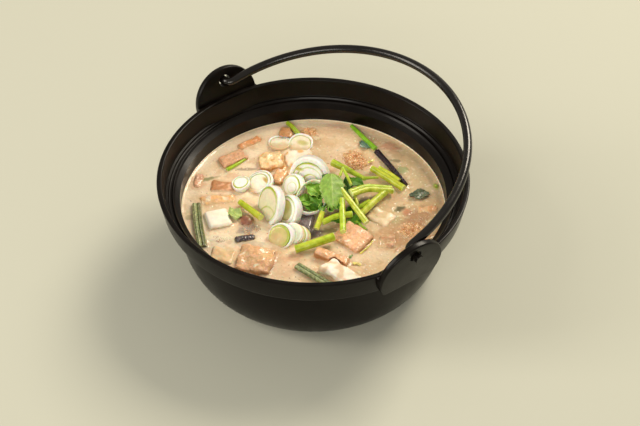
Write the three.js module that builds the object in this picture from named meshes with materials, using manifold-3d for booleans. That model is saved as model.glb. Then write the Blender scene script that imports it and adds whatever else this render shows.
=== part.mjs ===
// A cast-iron hot pot with a bail handle, filled with natto soup: tofu, fried tofu, konnyaku,
// leek slices and green stems. Millimetres, +Z up. The origin is the centre of the base, and
// the bail turns about X. The contents are laid out in a frame of their own, turned about Z.
import * as THREE from "three";
import { ConvexGeometry } from "three/addons/geometries/ConvexGeometry.js";
import { mergeVertices } from "three/addons/utils/BufferGeometryUtils.js";
import Module from "manifold-3d";

const wasm = await Module();
wasm.setup();

// ---------- Driving dimensions ----------
const RIM_RADIUS = 100;
const RIM_HEIGHT = 70;
const RIM_LAND = 3.5; // width of the flat top of the rim
const RIM_ROUND = 0.6;
const COLLAR_FOOT = 54; // height of the collar's lower edge
const COLLAR_DRAFT = 3.1; // the collar is this much smaller at its lower edge
const BODY_RADIUS = 88.5; // outside, just under the collar
const BASE_RADIUS = 61;
const BODY_POWER = 2.46; // roundness of the body's side, 2 being an ellipse
const BODY_STEPS = 6;
const WALL = 2.8;
const FLOOR = 3.6;
const BODY_TOP_INSIDE = 54; // where the wall inside turns out towards the lid's seat
const LID_SEAT_RADIUS = 93.1; // the ledge that a lid would sit on, between two beads
const LID_SEAT_HEIGHT = 57.6;
const LID_SEAT_WIDTH = 3.1;
const BEAD = 0.55; // height of a bead
const POT_SEGMENTS = 48;

const EAR_RADIUS = 23;
const EAR_CENTRE_HEIGHT = 67.5;
const EAR_FOOT = 53.5;
const EAR_THICKNESS = 4.3;
const EAR_FACE = 98.8; // the ear's inner face, from the pot's axis, at the rim's height
const EAR_LEAN = THREE.MathUtils.degToRad(12);
const EAR_ROOT = 4; // the cast web between ear and collar
const EAR_HOLE_RADIUS = 4.2;
const EAR_SEGMENTS = 20;

const HINGE_HEIGHT = 81;
const BAIL_HALF_WIDTH = 96.8;
const BAIL_REACH = 99.5;
const BAIL_LEAN = THREE.MathUtils.degToRad(13.3);
const BAIL_ROD_RADIUS = 2.8;
const BAIL_END = 110; // where the bent ends stop, outside the ears
const BAIL_BEND = 4.6; // how far up the bail its ends start to turn out
const BAIL_STEPS = 44;

const SOUP_LEVEL = 43.3;
const CONTENTS_TURN = THREE.MathUtils.degToRad(54.2);
const CLEARANCE = 0.3; // gap between pieces that touch
const EDGE_CHAMFER = 1.4; // on the edges of a cut block
const CORNER_PULL = 0.9; // how far out of square a block's corners are
const LAYER_STEP = 0.7; // how far a leek slice's core lies below its outer layers
const LEAF_THICKNESS = 0.9;

// ---------- Finishes ----------
function finish(color, roughness, metalness = 0) {
  return new THREE.MeshStandardMaterial({ color, roughness, metalness });
}

const iron = finish(0x1d1917, 0.45, 0.6);
const rod = finish(0x17130f, 0.4, 0.7);
const broth = finish(0xdcc095, 0.25);
const tofu = finish(0xf4e8d4, 0.5);
const friedTofu = finish(0xcd9560, 0.45);
const konnyaku = finish(0x766a67, 0.3);
const leek = finish(0xeff0df, 0.4);
const greenStem = finish(0xc2cd3c, 0.4);
const greenLeaf = finish(0x7fa348, 0.5);
const darkGreens = finish(0x4c5733, 0.4);
const darkStalk = finish(0x2f222c, 0.35);
const bean = finish(0xbe8351, 0.5);
const mushroom = finish(0x7a5546, 0.4);

// ---------- Solids ----------
function solidOf(geometry, matrix = new THREE.Matrix4()) {
  const plain = geometry.clone().applyMatrix4(matrix);
  plain.deleteAttribute("normal");
  plain.deleteAttribute("uv");
  const merged = mergeVertices(plain, 1e-4);
  return new wasm.Manifold(
    new wasm.Mesh({
      numProp: 3,
      vertProperties: merged.attributes.position.array,
      triVerts: new Uint32Array(merged.index.array),
    }),
  );
}

function geometryOf(solid) {
  const mesh = solid.getMesh();
  const geometry = new THREE.BufferGeometry();
  geometry.setAttribute("position", new THREE.BufferAttribute(mesh.vertProperties, 3));
  geometry.setIndex(new THREE.BufferAttribute(mesh.triVerts, 1));
  return geometry;
}

function revolve(profile, segments) {
  const points = profile.map(([radius, height]) => new THREE.Vector2(radius, height));
  return new THREE.LatheGeometry(points, segments).rotateX(Math.PI / 2);
}

// The same small generator of draws for every piece, so that each build is alike.
function draws(seed) {
  let state = seed * 7919 + 1;
  return () => {
    state = (state * 16807) % 2147483647;
    return state / 2147483647;
  };
}

// ---------- The pot ----------
// A quarter of a superellipse, from the foot on the floor up to the full radius.
function bodyCurve(radius, foot, bottom, top) {
  const points = [];
  for (let i = 0; i <= BODY_STEPS; i++) {
    const angle = (Math.PI / 2) * (1 - i / BODY_STEPS);
    const out = Math.cos(angle) ** (2 / BODY_POWER);
    const down = Math.sin(angle) ** (2 / BODY_POWER);
    points.push([foot + (radius - foot) * out, bottom + (top - bottom) * (1 - down)]);
  }
  return points;
}

const outerProfile = [
  [0, 0],
  ...bodyCurve(BODY_RADIUS, BASE_RADIUS, 0, COLLAR_FOOT),
  [RIM_RADIUS - COLLAR_DRAFT, COLLAR_FOOT],
  [RIM_RADIUS, RIM_HEIGHT - RIM_ROUND],
  [RIM_RADIUS - RIM_ROUND, RIM_HEIGHT],
  [0, RIM_HEIGHT],
];

// The hollow, from its floor to above the rim, drawn inwards by a margin for what has to lie
// clear of the wall.
function hollow(margin) {
  const seatInside = LID_SEAT_RADIUS - LID_SEAT_WIDTH;
  const above = RIM_HEIGHT + RIM_LAND;
  const inner = [
    ...bodyCurve(BODY_RADIUS - WALL, BASE_RADIUS - WALL, FLOOR, BODY_TOP_INSIDE),
    [seatInside, LID_SEAT_HEIGHT - BEAD],
    [seatInside + BEAD, LID_SEAT_HEIGHT - 2 * BEAD],
    [LID_SEAT_RADIUS, LID_SEAT_HEIGHT],
    [LID_SEAT_RADIUS + 2 * BEAD, LID_SEAT_HEIGHT + BEAD],
    [RIM_RADIUS - RIM_LAND, RIM_HEIGHT],
    [RIM_RADIUS - RIM_LAND, above],
  ].map(([radius, height]) => [radius - margin, Math.max(height, FLOOR + margin)]);
  return revolve([[0, FLOOR + margin], ...inner, [0, above]], POT_SEGMENTS);
}

// Everything below a height, as a wide slab.
function below(height) {
  const side = 4 * RIM_RADIUS;
  const slab = new THREE.BoxGeometry(side, side, 2 * RIM_HEIGHT);
  return solidOf(slab.translate(0, 0, height - RIM_HEIGHT));
}

// An ear is a round-topped plate that leans outwards, joined to the collar by a web.
function earPlate(inside, outside) {
  const cut = Math.asin((EAR_CENTRE_HEIGHT - EAR_FOOT) / EAR_RADIUS);
  const outline = new THREE.Shape();
  outline.absarc(0, EAR_CENTRE_HEIGHT - RIM_HEIGHT, EAR_RADIUS, -cut, Math.PI + cut, false);
  outline.closePath();
  const depth = outside - inside;
  const plate = new THREE.ExtrudeGeometry(outline, {
    depth,
    bevelEnabled: false,
    curveSegments: EAR_SEGMENTS,
  });
  const upright = new THREE.Matrix4().makeBasis(
    new THREE.Vector3(0, 1, 0),
    new THREE.Vector3(0, 0, 1),
    new THREE.Vector3(1, 0, 0),
  );
  return plate
    .translate(0, 0, inside)
    .applyMatrix4(upright)
    .rotateY(EAR_LEAN)
    .translate(EAR_FACE, 0, RIM_HEIGHT);
}

function potSolid() {
  const belowRim = below(RIM_HEIGHT - RIM_ROUND);
  let pot = solidOf(revolve(outerProfile, POT_SEGMENTS));
  for (const side of [0, Math.PI]) {
    const round = new THREE.Matrix4().makeRotationZ(side);
    const web = solidOf(earPlate(-EAR_ROOT, EAR_THICKNESS / 2), round);
    pot = pot.add(solidOf(earPlate(0, EAR_THICKNESS), round));
    pot = pot.add(web.intersect(belowRim));
  }
  const pierce = new THREE.CylinderGeometry(
    EAR_HOLE_RADIUS,
    EAR_HOLE_RADIUS,
    3 * RIM_RADIUS,
    16,
  );
  pierce.rotateZ(Math.PI / 2).translate(0, 0, HINGE_HEIGHT);
  return pot.subtract(solidOf(hollow(0))).subtract(solidOf(pierce));
}

// ---------- The bail ----------
// Half an ellipse in its own plane, with both ends bent out through the ears.
function bailPath() {
  const start = Math.asin((1.75 * BAIL_BEND) / BAIL_REACH);
  const spans = 14;
  const arc = [];
  for (let i = 0; i <= spans; i++) {
    const angle = start + ((Math.PI - 2 * start) * i) / spans;
    arc.push([BAIL_HALF_WIDTH * Math.cos(angle), BAIL_REACH * Math.sin(angle)]);
  }
  const end = [
    [BAIL_END, 0],
    [BAIL_HALF_WIDTH + BAIL_BEND, 0],
    [BAIL_HALF_WIDTH + 0.27 * BAIL_BEND, 0.27 * BAIL_BEND],
    [BAIL_HALF_WIDTH, BAIL_BEND],
  ];
  const otherEnd = end.map(([x, y]) => [-x, y]).reverse();
  const route = [...end, ...arc, ...otherEnd];
  return new THREE.CatmullRomCurve3(route.map(([x, y]) => new THREE.Vector3(x, y, 0)));
}

function disc(radius, sides) {
  const outline = new THREE.Shape();
  for (let i = 0; i < sides; i++) {
    const angle = ((i + 0.5) / sides) * 2 * Math.PI;
    outline[i ? "lineTo" : "moveTo"](radius * Math.cos(angle), radius * Math.sin(angle));
  }
  outline.closePath();
  return outline;
}

function tube(path, radius, sides, steps) {
  return new THREE.ExtrudeGeometry(disc(radius, sides), {
    extrudePath: path,
    steps,
    bevelEnabled: false,
  });
}

// ---------- Shapes of the food, each a function of how far it is grown ----------
// A cut block, its edges chamfered and its corners a little out of square.
function block(width, depth, height, seed) {
  return (grow) => {
    const draw = draws(seed);
    const chamfer = Math.min(EDGE_CHAMFER, height / 5);
    const half = [width / 2 + grow, depth / 2 + grow, height / 2 + grow];
    const corners = [];
    for (const sign of [0, 1, 2, 3, 4, 5, 6, 7]) {
      const way = [sign & 1 ? 1 : -1, sign & 2 ? 1 : -1, sign & 4 ? 1 : -1];
      const pull = [draw(), draw(), draw()];
      const corner = way.map((w, i) => w * (half[i] - CORNER_PULL * pull[i]));
      for (const kept of [0, 1, 2]) {
        const bevelled = corner.map((c, i) => (i === kept ? c : c - way[i] * chamfer));
        corners.push(new THREE.Vector3(...bevelled));
      }
    }
    return new ConvexGeometry(corners);
  };
}

// A clump of beans on a low core, the beans spread over its top by the golden angle.
function clump(width, depth, height, beanLength, count, seed) {
  return (grow) => {
    const draw = draws(seed);
    const core = block(width - 2, depth - 2, height - 2, seed)(grow);
    let whole = solidOf(core.translate(0, 0, -1));
    for (let i = 0; i < count; i++) {
      const angle = i * Math.PI * (3 - Math.sqrt(5));
      const out = Math.sqrt((i + 0.5) / count);
      const grain = new THREE.IcosahedronGeometry(beanLength / 2 + grow, 0);
      grain.scale(1.15, 0.85, 0.8).rotateZ(draw() * Math.PI);
      grain.translate(
        out * (width / 2 - 1.5) * Math.cos(angle),
        out * (depth / 2 - 1.5) * Math.sin(angle),
        height / 2 - 2 - 1.2 * out,
      );
      whole = whole.add(solidOf(grain));
    }
    return geometryOf(whole);
  };
}

// A leek slice: a disc whose layers step down towards the core.
function slice(radius, thick) {
  return (grow) => {
    const half = thick / 2 + grow;
    const outer = radius + grow;
    const rim = [
      [0, -half],
      [outer, -half],
      [outer, half],
    ];
    const core = [
      [radius * 0.8, half],
      [radius * 0.72, half - LAYER_STEP],
      [0, half - LAYER_STEP],
    ];
    return revolve([...rim, ...(grow ? [[0, half]] : core)], 14);
  };
}

// A loose outer layer of leek: an oval band.
function band(radius, wall, height, squeeze) {
  return (grow) => {
    const inner = radius - wall - grow;
    const outer = radius + grow;
    const half = height / 2 + grow;
    const profile = [
      [inner, -half],
      [outer, -half],
      [outer, half],
      [inner, half],
      [inner, -half],
    ];
    return revolve(profile, 18).scale(1, squeeze, 1);
  };
}

// A leaf along Y, its tip at +Y: a thin wavy sheet, both faces split into triangles alike. Taper
// narrows it towards the tip.
function leaf(length, width, { droop = 0, cup = 0, ripple = 0, taper = 0, rows = 8, columns = 6 }) {
  return (grow) => {
    const thick = LEAF_THICKNESS + 2 * grow;
    const positions = [];
    const index = [];
    const across = columns + 1;
    for (const side of [1, -1]) {
      for (let i = 0; i <= rows; i++) {
        const v = i / rows;
        const fullness = Math.sin(Math.PI * (0.1 + 0.8 * v)) * (1 - taper * v);
        const half = (width / 2) * fullness + grow;
        for (let j = 0; j <= columns; j++) {
          const u = (2 * j) / columns - 1;
          const wave = ripple * Math.sin(7 * v + 2 * u) * Math.abs(u);
          const height = cup * u * u - droop * (v - 0.5) ** 2 + wave;
          positions.push(u * half, (v - 0.5) * (length + 2 * grow), height + (side * thick) / 2);
        }
      }
    }
    const face = (rows + 1) * across;
    const quad = (a, b, c, d) => index.push(a, b, c, a, c, d);
    for (let i = 0; i < rows; i++) {
      for (let j = 0; j < columns; j++) {
        const a = i * across + j;
        quad(a, a + 1, a + across + 1, a + across);
        index.push(face + a, face + a + across + 1, face + a + 1);
        index.push(face + a, face + a + across, face + a + across + 1);
      }
    }
    const edge = [];
    for (let j = 0; j < columns; j++) edge.push(j);
    for (let i = 0; i < rows; i++) edge.push(i * across + columns);
    for (let j = columns; j > 0; j--) edge.push(rows * across + j);
    for (let i = rows; i > 0; i--) edge.push(i * across);
    edge.forEach((a, i) => {
      const b = edge[(i + 1) % edge.length];
      quad(a, a + face, b + face, b);
    });
    const sheet = new THREE.BufferGeometry();
    sheet.setAttribute("position", new THREE.Float32BufferAttribute(positions, 3));
    sheet.setIndex(index);
    return sheet;
  };
}

// A mushroom cap: a low dome over flat gills.
function cap(radius, height) {
  return (grow) =>
    revolve(
      [
        [0, -height / 2 - grow],
        [radius * 0.88 + grow, -height / 2 - grow],
        [radius + grow, -height / 4],
        [radius * 0.82 + grow, height / 4],
        [radius * 0.45 + grow, height / 2 + grow],
        [0, height / 2 + grow],
      ],
      12,
    );
}

// A stick of stem through a few points. Twin sticks lie side by side as one split stalk.
function stick(points, radius, twin = 0) {
  const middle = new THREE.Vector3();
  points.forEach((p) => middle.add(new THREE.Vector3(...p)));
  middle.divideScalar(points.length);
  const sides = radius > 1.6 ? 8 : 6;
  const shape = (grow) => {
    const route = points.map((p) => new THREE.Vector3(...p).sub(middle));
    const last = route.length - 1;
    const run = route[last].clone().sub(route[0]);
    route[0].addScaledVector(route[1].clone().sub(route[0]).normalize(), -grow);
    route[last].addScaledVector(route[last].clone().sub(route[last - 1]).normalize(), grow);
    const steps = 2 * last;
    const single = tube(new THREE.CatmullRomCurve3(route), radius + grow, sides, steps);
    if (!twin) return single;
    const aside = new THREE.Vector3(-run.y, run.x, 0).setLength(twin);
    const one = solidOf(single.clone().translate(aside.x, aside.y, 0));
    const two = solidOf(single.clone().translate(-aside.x, -aside.y, 0));
    return geometryOf(one.add(two));
  };
  return { at: middle.toArray(), shape };
}

// ---------- Laying the pieces in the pot ----------
// Pieces are laid from the top of the heap down. A piece gives way, with a gap, to the ones
// above it and to the wall, and the soup is cut round them all.
const contents = new THREE.Group();
contents.rotation.z = CONTENTS_TURN;
const room = solidOf(hollow(CLEARANCE)).intersect(below(RIM_HEIGHT));
const laid = [];

function lay(name, material, shape, at, turn = 0, tip = 0, roll = 0) {
  const mesh = new THREE.Mesh(shape(0), material);
  mesh.name = name;
  mesh.position.set(...at);
  mesh.rotation.order = "ZYX";
  mesh.rotation.set(...[roll, tip, turn].map(THREE.MathUtils.degToRad));
  mesh.updateMatrix();
  const whole = solidOf(mesh.geometry, mesh.matrix);
  const box = new THREE.Box3().setFromObject(mesh);
  let left = whole.intersect(room);
  for (const other of laid) {
    if (other.box.intersectsBox(box)) left = left.subtract(other.grown);
  }
  if (whole.volume() - left.volume() > 0.01) {
    const bodies = left.decompose();
    bodies.sort((a, b) => b.volume() - a.volume());
    mesh.geometry = geometryOf(bodies[0]).applyMatrix4(mesh.matrix.clone().invert());
  }
  laid.push({ box: box.expandByScalar(CLEARANCE), grown: solidOf(shape(CLEARANCE), mesh.matrix) });
  contents.add(mesh);
}

function layStick(name, material, points, radius, twin = 0) {
  const { at, shape } = stick(points, radius, twin);
  lay(name, material, shape, at);
}

// A block is given by its size, the middle of its top face, and its turn, tip and roll.
function layBlock(name, material, size, [x, y, top], turn = 0, tip = 0, roll = 0) {
  const [width, depth, height] = size;
  const shape = block(width, depth, height, contents.children.length + 1);
  lay(name, material, shape, [x, y, top - height / 2], turn, tip, roll);
}

// Leaves and stems at the top of the heap
const STEM = 1.75;
lay(
  "leaf_large",
  greenLeaf,
  leaf(26, 21, { droop: 6, cup: -1.2, ripple: 0.6, taper: 0.45 }),
  [12.2, -1.5, 57.8],
  183,
  0,
  -18,
);
layStick("stem_long", greenStem, [[17.7, 2.3, 56], [26.1, -9.1, 51.5], [34.2, -20.7, 47.6]], STEM);
layStick("stem_upright", greenStem, [[18.3, -5.3, 54], [18.7, -19, 51.6], [18.9, -30.9, 49.4]], STEM);
layStick(
  "stem_fork",
  greenStem,
  [[15.9, 18.1, 54.8], [19.2, 23.4, 55.4], [21.9, 16.4, 54.6], [24.4, 8.6, 54]],
  1,
);
layStick(
  "stem_split",
  greenStem,
  [[24, 0.6, 54], [34.1, 8, 51.5], [43.3, 10.4, 49], [51.2, 12.2, 46.4]],
  STEM,
  1.4,
);
layStick(
  "stem_thick",
  greenStem,
  [[12.7, 35.5, 49.5], [24, 25.9, 50.5], [34, 19.4, 49.5], [41.3, 20.5, 48]],
  2.2,
);
layStick("stem_cross", greenStem, [[30.9, -11.3, 46.8], [38.5, -1.5, 47.6], [46.9, 9.6, 47]], 2);
layStick("stem_low", greenStem, [[5.5, -20.7, 48], [15.2, -16.3, 49.2], [24.8, -13.9, 49]], 1.9);
layStick("stem_short", greenStem, [[2, -26.3, 47.6], [3.7, -21.9, 49.6], [5.9, -15.3, 52]], 1.8);
layStick("stem_front", greenStem, [[-11.4, -43.4, 46], [0.5, -40.4, 48.4], [13.1, -35.1, 49.2]], 2.7);
layStick("stem_side", greenStem, [[-47.4, 0.8, 46], [-40, -8.5, 47.5], [-33.4, -16.6, 48.5]], 1.9);
layStick(
  "stem_far_pair",
  greenStem,
  [[39.6, 35.4, 45.4], [50, 25.2, 45.6], [60.1, 15.8, 45.2]],
  1.9,
  1.5,
);

// Leek slices, each by its radius and thickness, its middle, and the way its face looks
const LOOK_LEFT = 204; // turn of the slices that stand like fallen dominoes
lay("leek_band", leek, band(13.5, 1.6, 4.5, 0.74), [-0.8, -1.5, 52], 62, -14, 15);
lay("leek_domino_front", leek, slice(13, 5.5), [-27.3, -7, 50], LOOK_LEFT, 66);
lay("leek_domino_back", leek, slice(10.4, 5.5), [-15.6, -11.8, 49.6], LOOK_LEFT + 6, 62);
lay("leek_tall", leek, slice(13, 8), [-2.6, 20.6, 51.3], 254, 72);
lay("leek_leaning", leek, slice(8.2, 4.5), [-12.6, 11.2, 50], 222, 56);
lay("leek_chunk", leek, slice(8.4, 8), [-19.5, -31.2, 45.8], 236, 48);
lay("leek_fanned", leek, slice(7.8, 5), [-7.6, -30.4, 45.4], 240, 34);
lay("leek_flat_small", leek, slice(6.3, 4), [-47.3, 18.2, 47.2], 200, 12);
lay("leek_flat_large", leek, slice(9, 4.5), [-34.8, 20, 46.6], 215, 16);
lay("leek_sunk_left", leek, slice(8, 4), [-22.6, 61.6, 43.4], 80, 6);
lay("leek_sunk_right", leek, slice(8.4, 4), [-8.6, 60.6, 44], 250, 10);

// Small greens
lay(
  "leaf_dark",
  darkGreens,
  leaf(19, 12, { droop: 3, cup: 2.4, ripple: 0.7, rows: 7, columns: 4 }),
  [-0.5, -1.5, 49.4],
  78,
);
lay(
  "leaf_frill",
  greenLeaf,
  leaf(10, 8, { droop: 1, cup: 0.6, ripple: 1.3, rows: 6, columns: 4 }),
  [-50.4, -9.6, 45.4],
  30,
);
lay(
  "green_scrap_right",
  darkGreens,
  leaf(12, 8, { cup: 1.2, ripple: 0.6, rows: 5, columns: 4 }),
  [69, 9.6, 44.4],
  100,
);
lay(
  "green_scrap_far",
  darkGreens,
  leaf(8, 7, { cup: 0.8, ripple: 0.4, rows: 4, columns: 4 }),
  [34, 59.4, 43.9],
  40,
);
layStick(
  "leek_green_sliver",
  greenStem,
  [[-57.2, 34.2, 44.3], [-51.3, 38.8, 44.6], [-44.7, 45.6, 44.1]],
  1.1,
);
layStick(
  "stem_far_wall",
  greenStem,
  [[-17.8, 80.6, 45.6], [-13.9, 75.2, 46], [-9.3, 68.4, 44.6]],
  1.5,
);
layStick("stem_bright", greenStem, [[25.7, 78.6, 44.6], [32.6, 67.4, 45], [41.3, 54.9, 44.6]], 1.3);
layStick("stalk_purple", darkStalk, [[42.1, 52.4, 44.4], [51.9, 34.7, 44.8], [60.6, 18.6, 44.4]], 1.7);
layStick("stalk_left", darkGreens, [[-75.6, 0.1, 44.4], [-73.4, -19.7, 44.6], [-70, -39, 44.2]], 2, 1.6);
layStick(
  "stalk_front",
  darkGreens,
  [[-10.1, -56.5, 44.8], [-0.1, -64.7, 44.6], [10.5, -73.6, 44.2]],
  1.9,
  1.5,
);

// Tofu, fried tofu and the rest, by size, middle of the top face, and turn
layBlock("tofu_cube", tofu, [16.5, 17, 15], [-61.2, -14, 46.8], 15);
layBlock("tofu_corner", tofu, [26, 15, 16], [16.4, -64.2, 48], -45.7, 3, -3);
layBlock("fried_tofu_wedge", friedTofu, [24, 9, 12], [11.5, -49.5, 48], -24, 6);
layBlock("fried_tofu_browned", friedTofu, [22, 19, 15], [25.4, -31, 47.6], -38, 0, 4);
layBlock("fried_tofu_chunk", friedTofu, [24, 23, 16], [-36, -51.5, 47.6], -12);
layBlock("tofu_pale", tofu, [17, 15, 12], [-57, -46, 44.8], -12);
layBlock("fried_tofu_smooth", friedTofu, [20, 11, 10], [-57.5, 18.2, 45.2], -8);
layBlock("fried_tofu_pale", friedTofu, [24, 10, 10], [-62.5, 5.5, 45], 8);
layBlock("fried_tofu_bar", friedTofu, [20, 12, 12], [-53.5, 45, 46.6], 31);
layBlock("fried_tofu_strip", friedTofu, [19, 6.5, 8], [-43.5, 62, 45.6], 34);
layBlock("fried_tofu_far", friedTofu, [10, 13, 12], [-18.5, 71.5, 46.2], -12);
layBlock("fried_tofu_large", friedTofu, [17, 17, 14], [-28, 42, 48], 10);
layBlock("tofu_large", tofu, [18, 16, 15], [-9.8, 44.2, 48], 3);
layBlock("fried_tofu_corner", friedTofu, [9, 15, 10], [-22.3, 26.4, 47.2], -20);
layBlock("tofu_sunk", tofu, [19, 15, 12], [43.5, -10.5, 44.4], -38);
layBlock("fried_tofu_sunk", friedTofu, [14, 16, 10], [46.8, -33, 44.5], 5);
layBlock("fried_tofu_wall", friedTofu, [15, 9, 8], [73.2, -3.5, 44.6], 5);
layBlock("fried_tofu_edge", friedTofu, [7, 14, 7], [-75.6, 24, 45.2], -17);
layBlock("konnyaku_block", konnyaku, [12.5, 23, 9], [-6, -20, 47], -9, -6);
layBlock("konnyaku_strip", konnyaku, [14, 6, 6], [-43.5, -31, 45.6], 12);
lay("mushroom_cap", mushroom, cap(5.8, 4.6), [-43.8, -14.6, 43.6], 200, 12);
lay("natto_mound", bean, clump(18, 23, 9, 5.5, 11, 3), [27.4, 44.4, 43.4], 24);
lay("natto_clump_far", bean, clump(12, 10, 7, 4.5, 5, 5), [-2.8, 73, 43.2], 10);
lay("natto_clump_right", bean, clump(19, 19, 7, 5, 8, 7), [62.4, -23.4, 42.2], 40);

// The soup fills the pot up to its level, cut round everything laid in it.
function soupSolid() {
  let soup = solidOf(hollow(CLEARANCE)).intersect(below(SOUP_LEVEL));
  for (const { grown } of laid) soup = soup.subtract(grown);
  const bodies = soup.decompose();
  bodies.sort((a, b) => b.volume() - a.volume());
  return bodies[0];
}

const soup = new THREE.Mesh(geometryOf(soupSolid()), broth);
soup.name = "soup";
contents.add(soup);

// ---------- The assembly ----------
const group = new THREE.Group();

const pot = new THREE.Mesh(geometryOf(potSolid()), iron);
pot.name = "pot";
group.add(pot);

const bail = new THREE.Mesh(tube(bailPath(), BAIL_ROD_RADIUS, 8, BAIL_STEPS), rod);
bail.name = "bail_handle";
bail.position.set(0, 0, HINGE_HEIGHT);
bail.rotation.x = BAIL_LEAN;
group.add(bail);

group.add(contents);

export default group;
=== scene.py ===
import math

import bmesh
import bpy
import numpy as np
from mathutils import Matrix, Vector, noise
from mathutils.bvhtree import BVHTree


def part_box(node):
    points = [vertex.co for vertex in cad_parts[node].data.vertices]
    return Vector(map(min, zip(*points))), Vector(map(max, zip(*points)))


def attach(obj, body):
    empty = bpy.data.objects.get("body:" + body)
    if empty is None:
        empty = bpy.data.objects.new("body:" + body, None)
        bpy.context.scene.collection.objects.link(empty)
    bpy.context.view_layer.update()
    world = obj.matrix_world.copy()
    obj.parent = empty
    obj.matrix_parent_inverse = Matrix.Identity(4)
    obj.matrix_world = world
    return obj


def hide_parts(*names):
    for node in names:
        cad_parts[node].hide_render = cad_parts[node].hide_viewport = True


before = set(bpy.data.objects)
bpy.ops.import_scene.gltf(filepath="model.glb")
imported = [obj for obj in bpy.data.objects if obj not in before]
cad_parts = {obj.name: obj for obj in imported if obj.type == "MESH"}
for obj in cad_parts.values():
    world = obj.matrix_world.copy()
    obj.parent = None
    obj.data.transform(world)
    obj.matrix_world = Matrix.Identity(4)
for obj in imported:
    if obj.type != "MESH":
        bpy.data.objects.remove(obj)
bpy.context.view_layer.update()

# ---------------------------------------------------------------- The pot
# A hot pot for one, poured in cast iron in one piece with its two ears. A collar runs round the rim,
# and a stepped seat inside takes a lid. It is baked black all over, so it is satin, not bare metal.
# Sizes are in millimetres here and in every section, and MM turns them to metres.
MM = 0.001
RIM_HEIGHT = 70
BODY_POWER = 2.46
WALL = 2.8
FLOOR = 3.6
COLLAR_FOOT = 54
COLLAR_RADIUS = 96.9
BODY_RADIUS = 88.5
BASE_RADIUS = 61
SEAT_RADIUS = 93.1
SEAT_INSIDE = 90
SEAT_HEIGHT = 57.6
RIM_LAND = 3.5
POT_SEGMENTS = 240
rim_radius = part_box("pot")[1].y / MM


def linked(name, data):
    """A new object in the scene that holds this mesh, light or camera."""
    holder = bpy.data.objects.new(name, data)
    bpy.context.scene.collection.objects.link(holder)
    return holder


def keep_tints(mesh, tints):
    """Stores a colour for each point of the mesh, which its finish reads as "tint"."""
    layer = mesh.color_attributes.new("tint", "FLOAT_COLOR", "POINT")
    layer.data.foreach_set("color", np.asarray(tints, np.float32).ravel())


def solid(name, points, faces, tints=None):
    """A new mesh object from points in millimetres, with a colour for each point if tints are given."""
    mesh = bpy.data.meshes.new(name)
    mesh.from_pydata([tuple(p) for p in points], [], [tuple(f) for f in faces])
    if tints is not None:
        keep_tints(mesh, tints)
    mesh.transform(Matrix.Scale(MM, 4))
    mesh.shade_smooth()
    return linked(name, mesh)


def made_plain(piece):
    """Turns what the piece's modifiers make into its own plain mesh, and takes the modifiers off."""
    graph = bpy.context.evaluated_depsgraph_get()
    mesh = bpy.data.meshes.new_from_object(piece.evaluated_get(graph), depsgraph=graph)
    piece.modifiers.clear()
    piece.data = mesh
    return piece


def facing_out(piece):
    """Merges doubles and turns every face outwards."""
    made = bmesh.new()
    made.from_mesh(piece.data)
    bmesh.ops.remove_doubles(made, verts=made.verts, dist=0.01 * MM)
    bmesh.ops.recalc_face_normals(made, faces=made.faces)
    made.to_mesh(piece.data)
    made.free()
    return piece


def placed_on(piece, finish, slot, *nodes, body="pot"):
    """Gives a finished piece its material and its body, and hides the nodes it stands for. The slot is not
    used.
    """
    piece.data.materials.clear()
    piece.data.materials.append(finish)
    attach(piece, body)
    if nodes:
        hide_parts(*nodes)
    return piece


def eased(corners, steps=4):
    """A profile through (radius, height, easing) corners, each corner eased by an arc."""
    line = []
    for i, (radius, height, easing) in enumerate(corners):
        here = Vector((radius, height))
        if not easing:
            line.append(here)
            continue
        start = here + easing * (Vector(corners[i - 1][:2]) - here).normalized()
        end = here + easing * (Vector(corners[i + 1][:2]) - here).normalized()
        for k in range(steps + 1):
            t = k / steps
            line.append((1 - t) ** 2 * start + 2 * t * (1 - t) * here + t**2 * end)
    return line


def body_curve(radius, foot, bottom, top, steps=26):
    """A quarter of a superellipse, from the foot on the floor up to the full radius."""
    points = []
    for i in range(steps + 1):
        angle = math.pi / 2 * (1 - i / steps)
        out = max(math.cos(angle), 0) ** (2 / BODY_POWER)
        down = math.sin(angle) ** (2 / BODY_POWER)
        points.append((foot + (radius - foot) * out, bottom + (top - bottom) * (1 - down), 0))
    return points


def round_angles(count):
    """The angles of this many even steps once round."""
    return [2 * math.pi * i / count for i in range(count)]


def turned(name, profile, segments):
    """A solid of revolution about Z. The profile starts and ends on the axis."""
    points = [(0, 0, profile[0][1])]
    for radius, height in profile[1:-1]:
        for angle in round_angles(segments):
            points.append((radius * math.cos(angle), radius * math.sin(angle), height))
    points.append((0, 0, profile[-1][1]))
    faces = []
    rings = len(profile) - 2
    for i in range(segments):
        after = (i + 1) % segments
        faces.append((0, 1 + after, 1 + i))
        for ring in range(rings - 1):
            low = 1 + ring * segments
            high = low + segments
            faces.append((low + i, low + after, high + after, high + i))
        last = 1 + (rings - 1) * segments
        faces.append((last + i, last + after, len(points) - 1))
    return facing_out(solid(name, points, faces))


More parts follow.
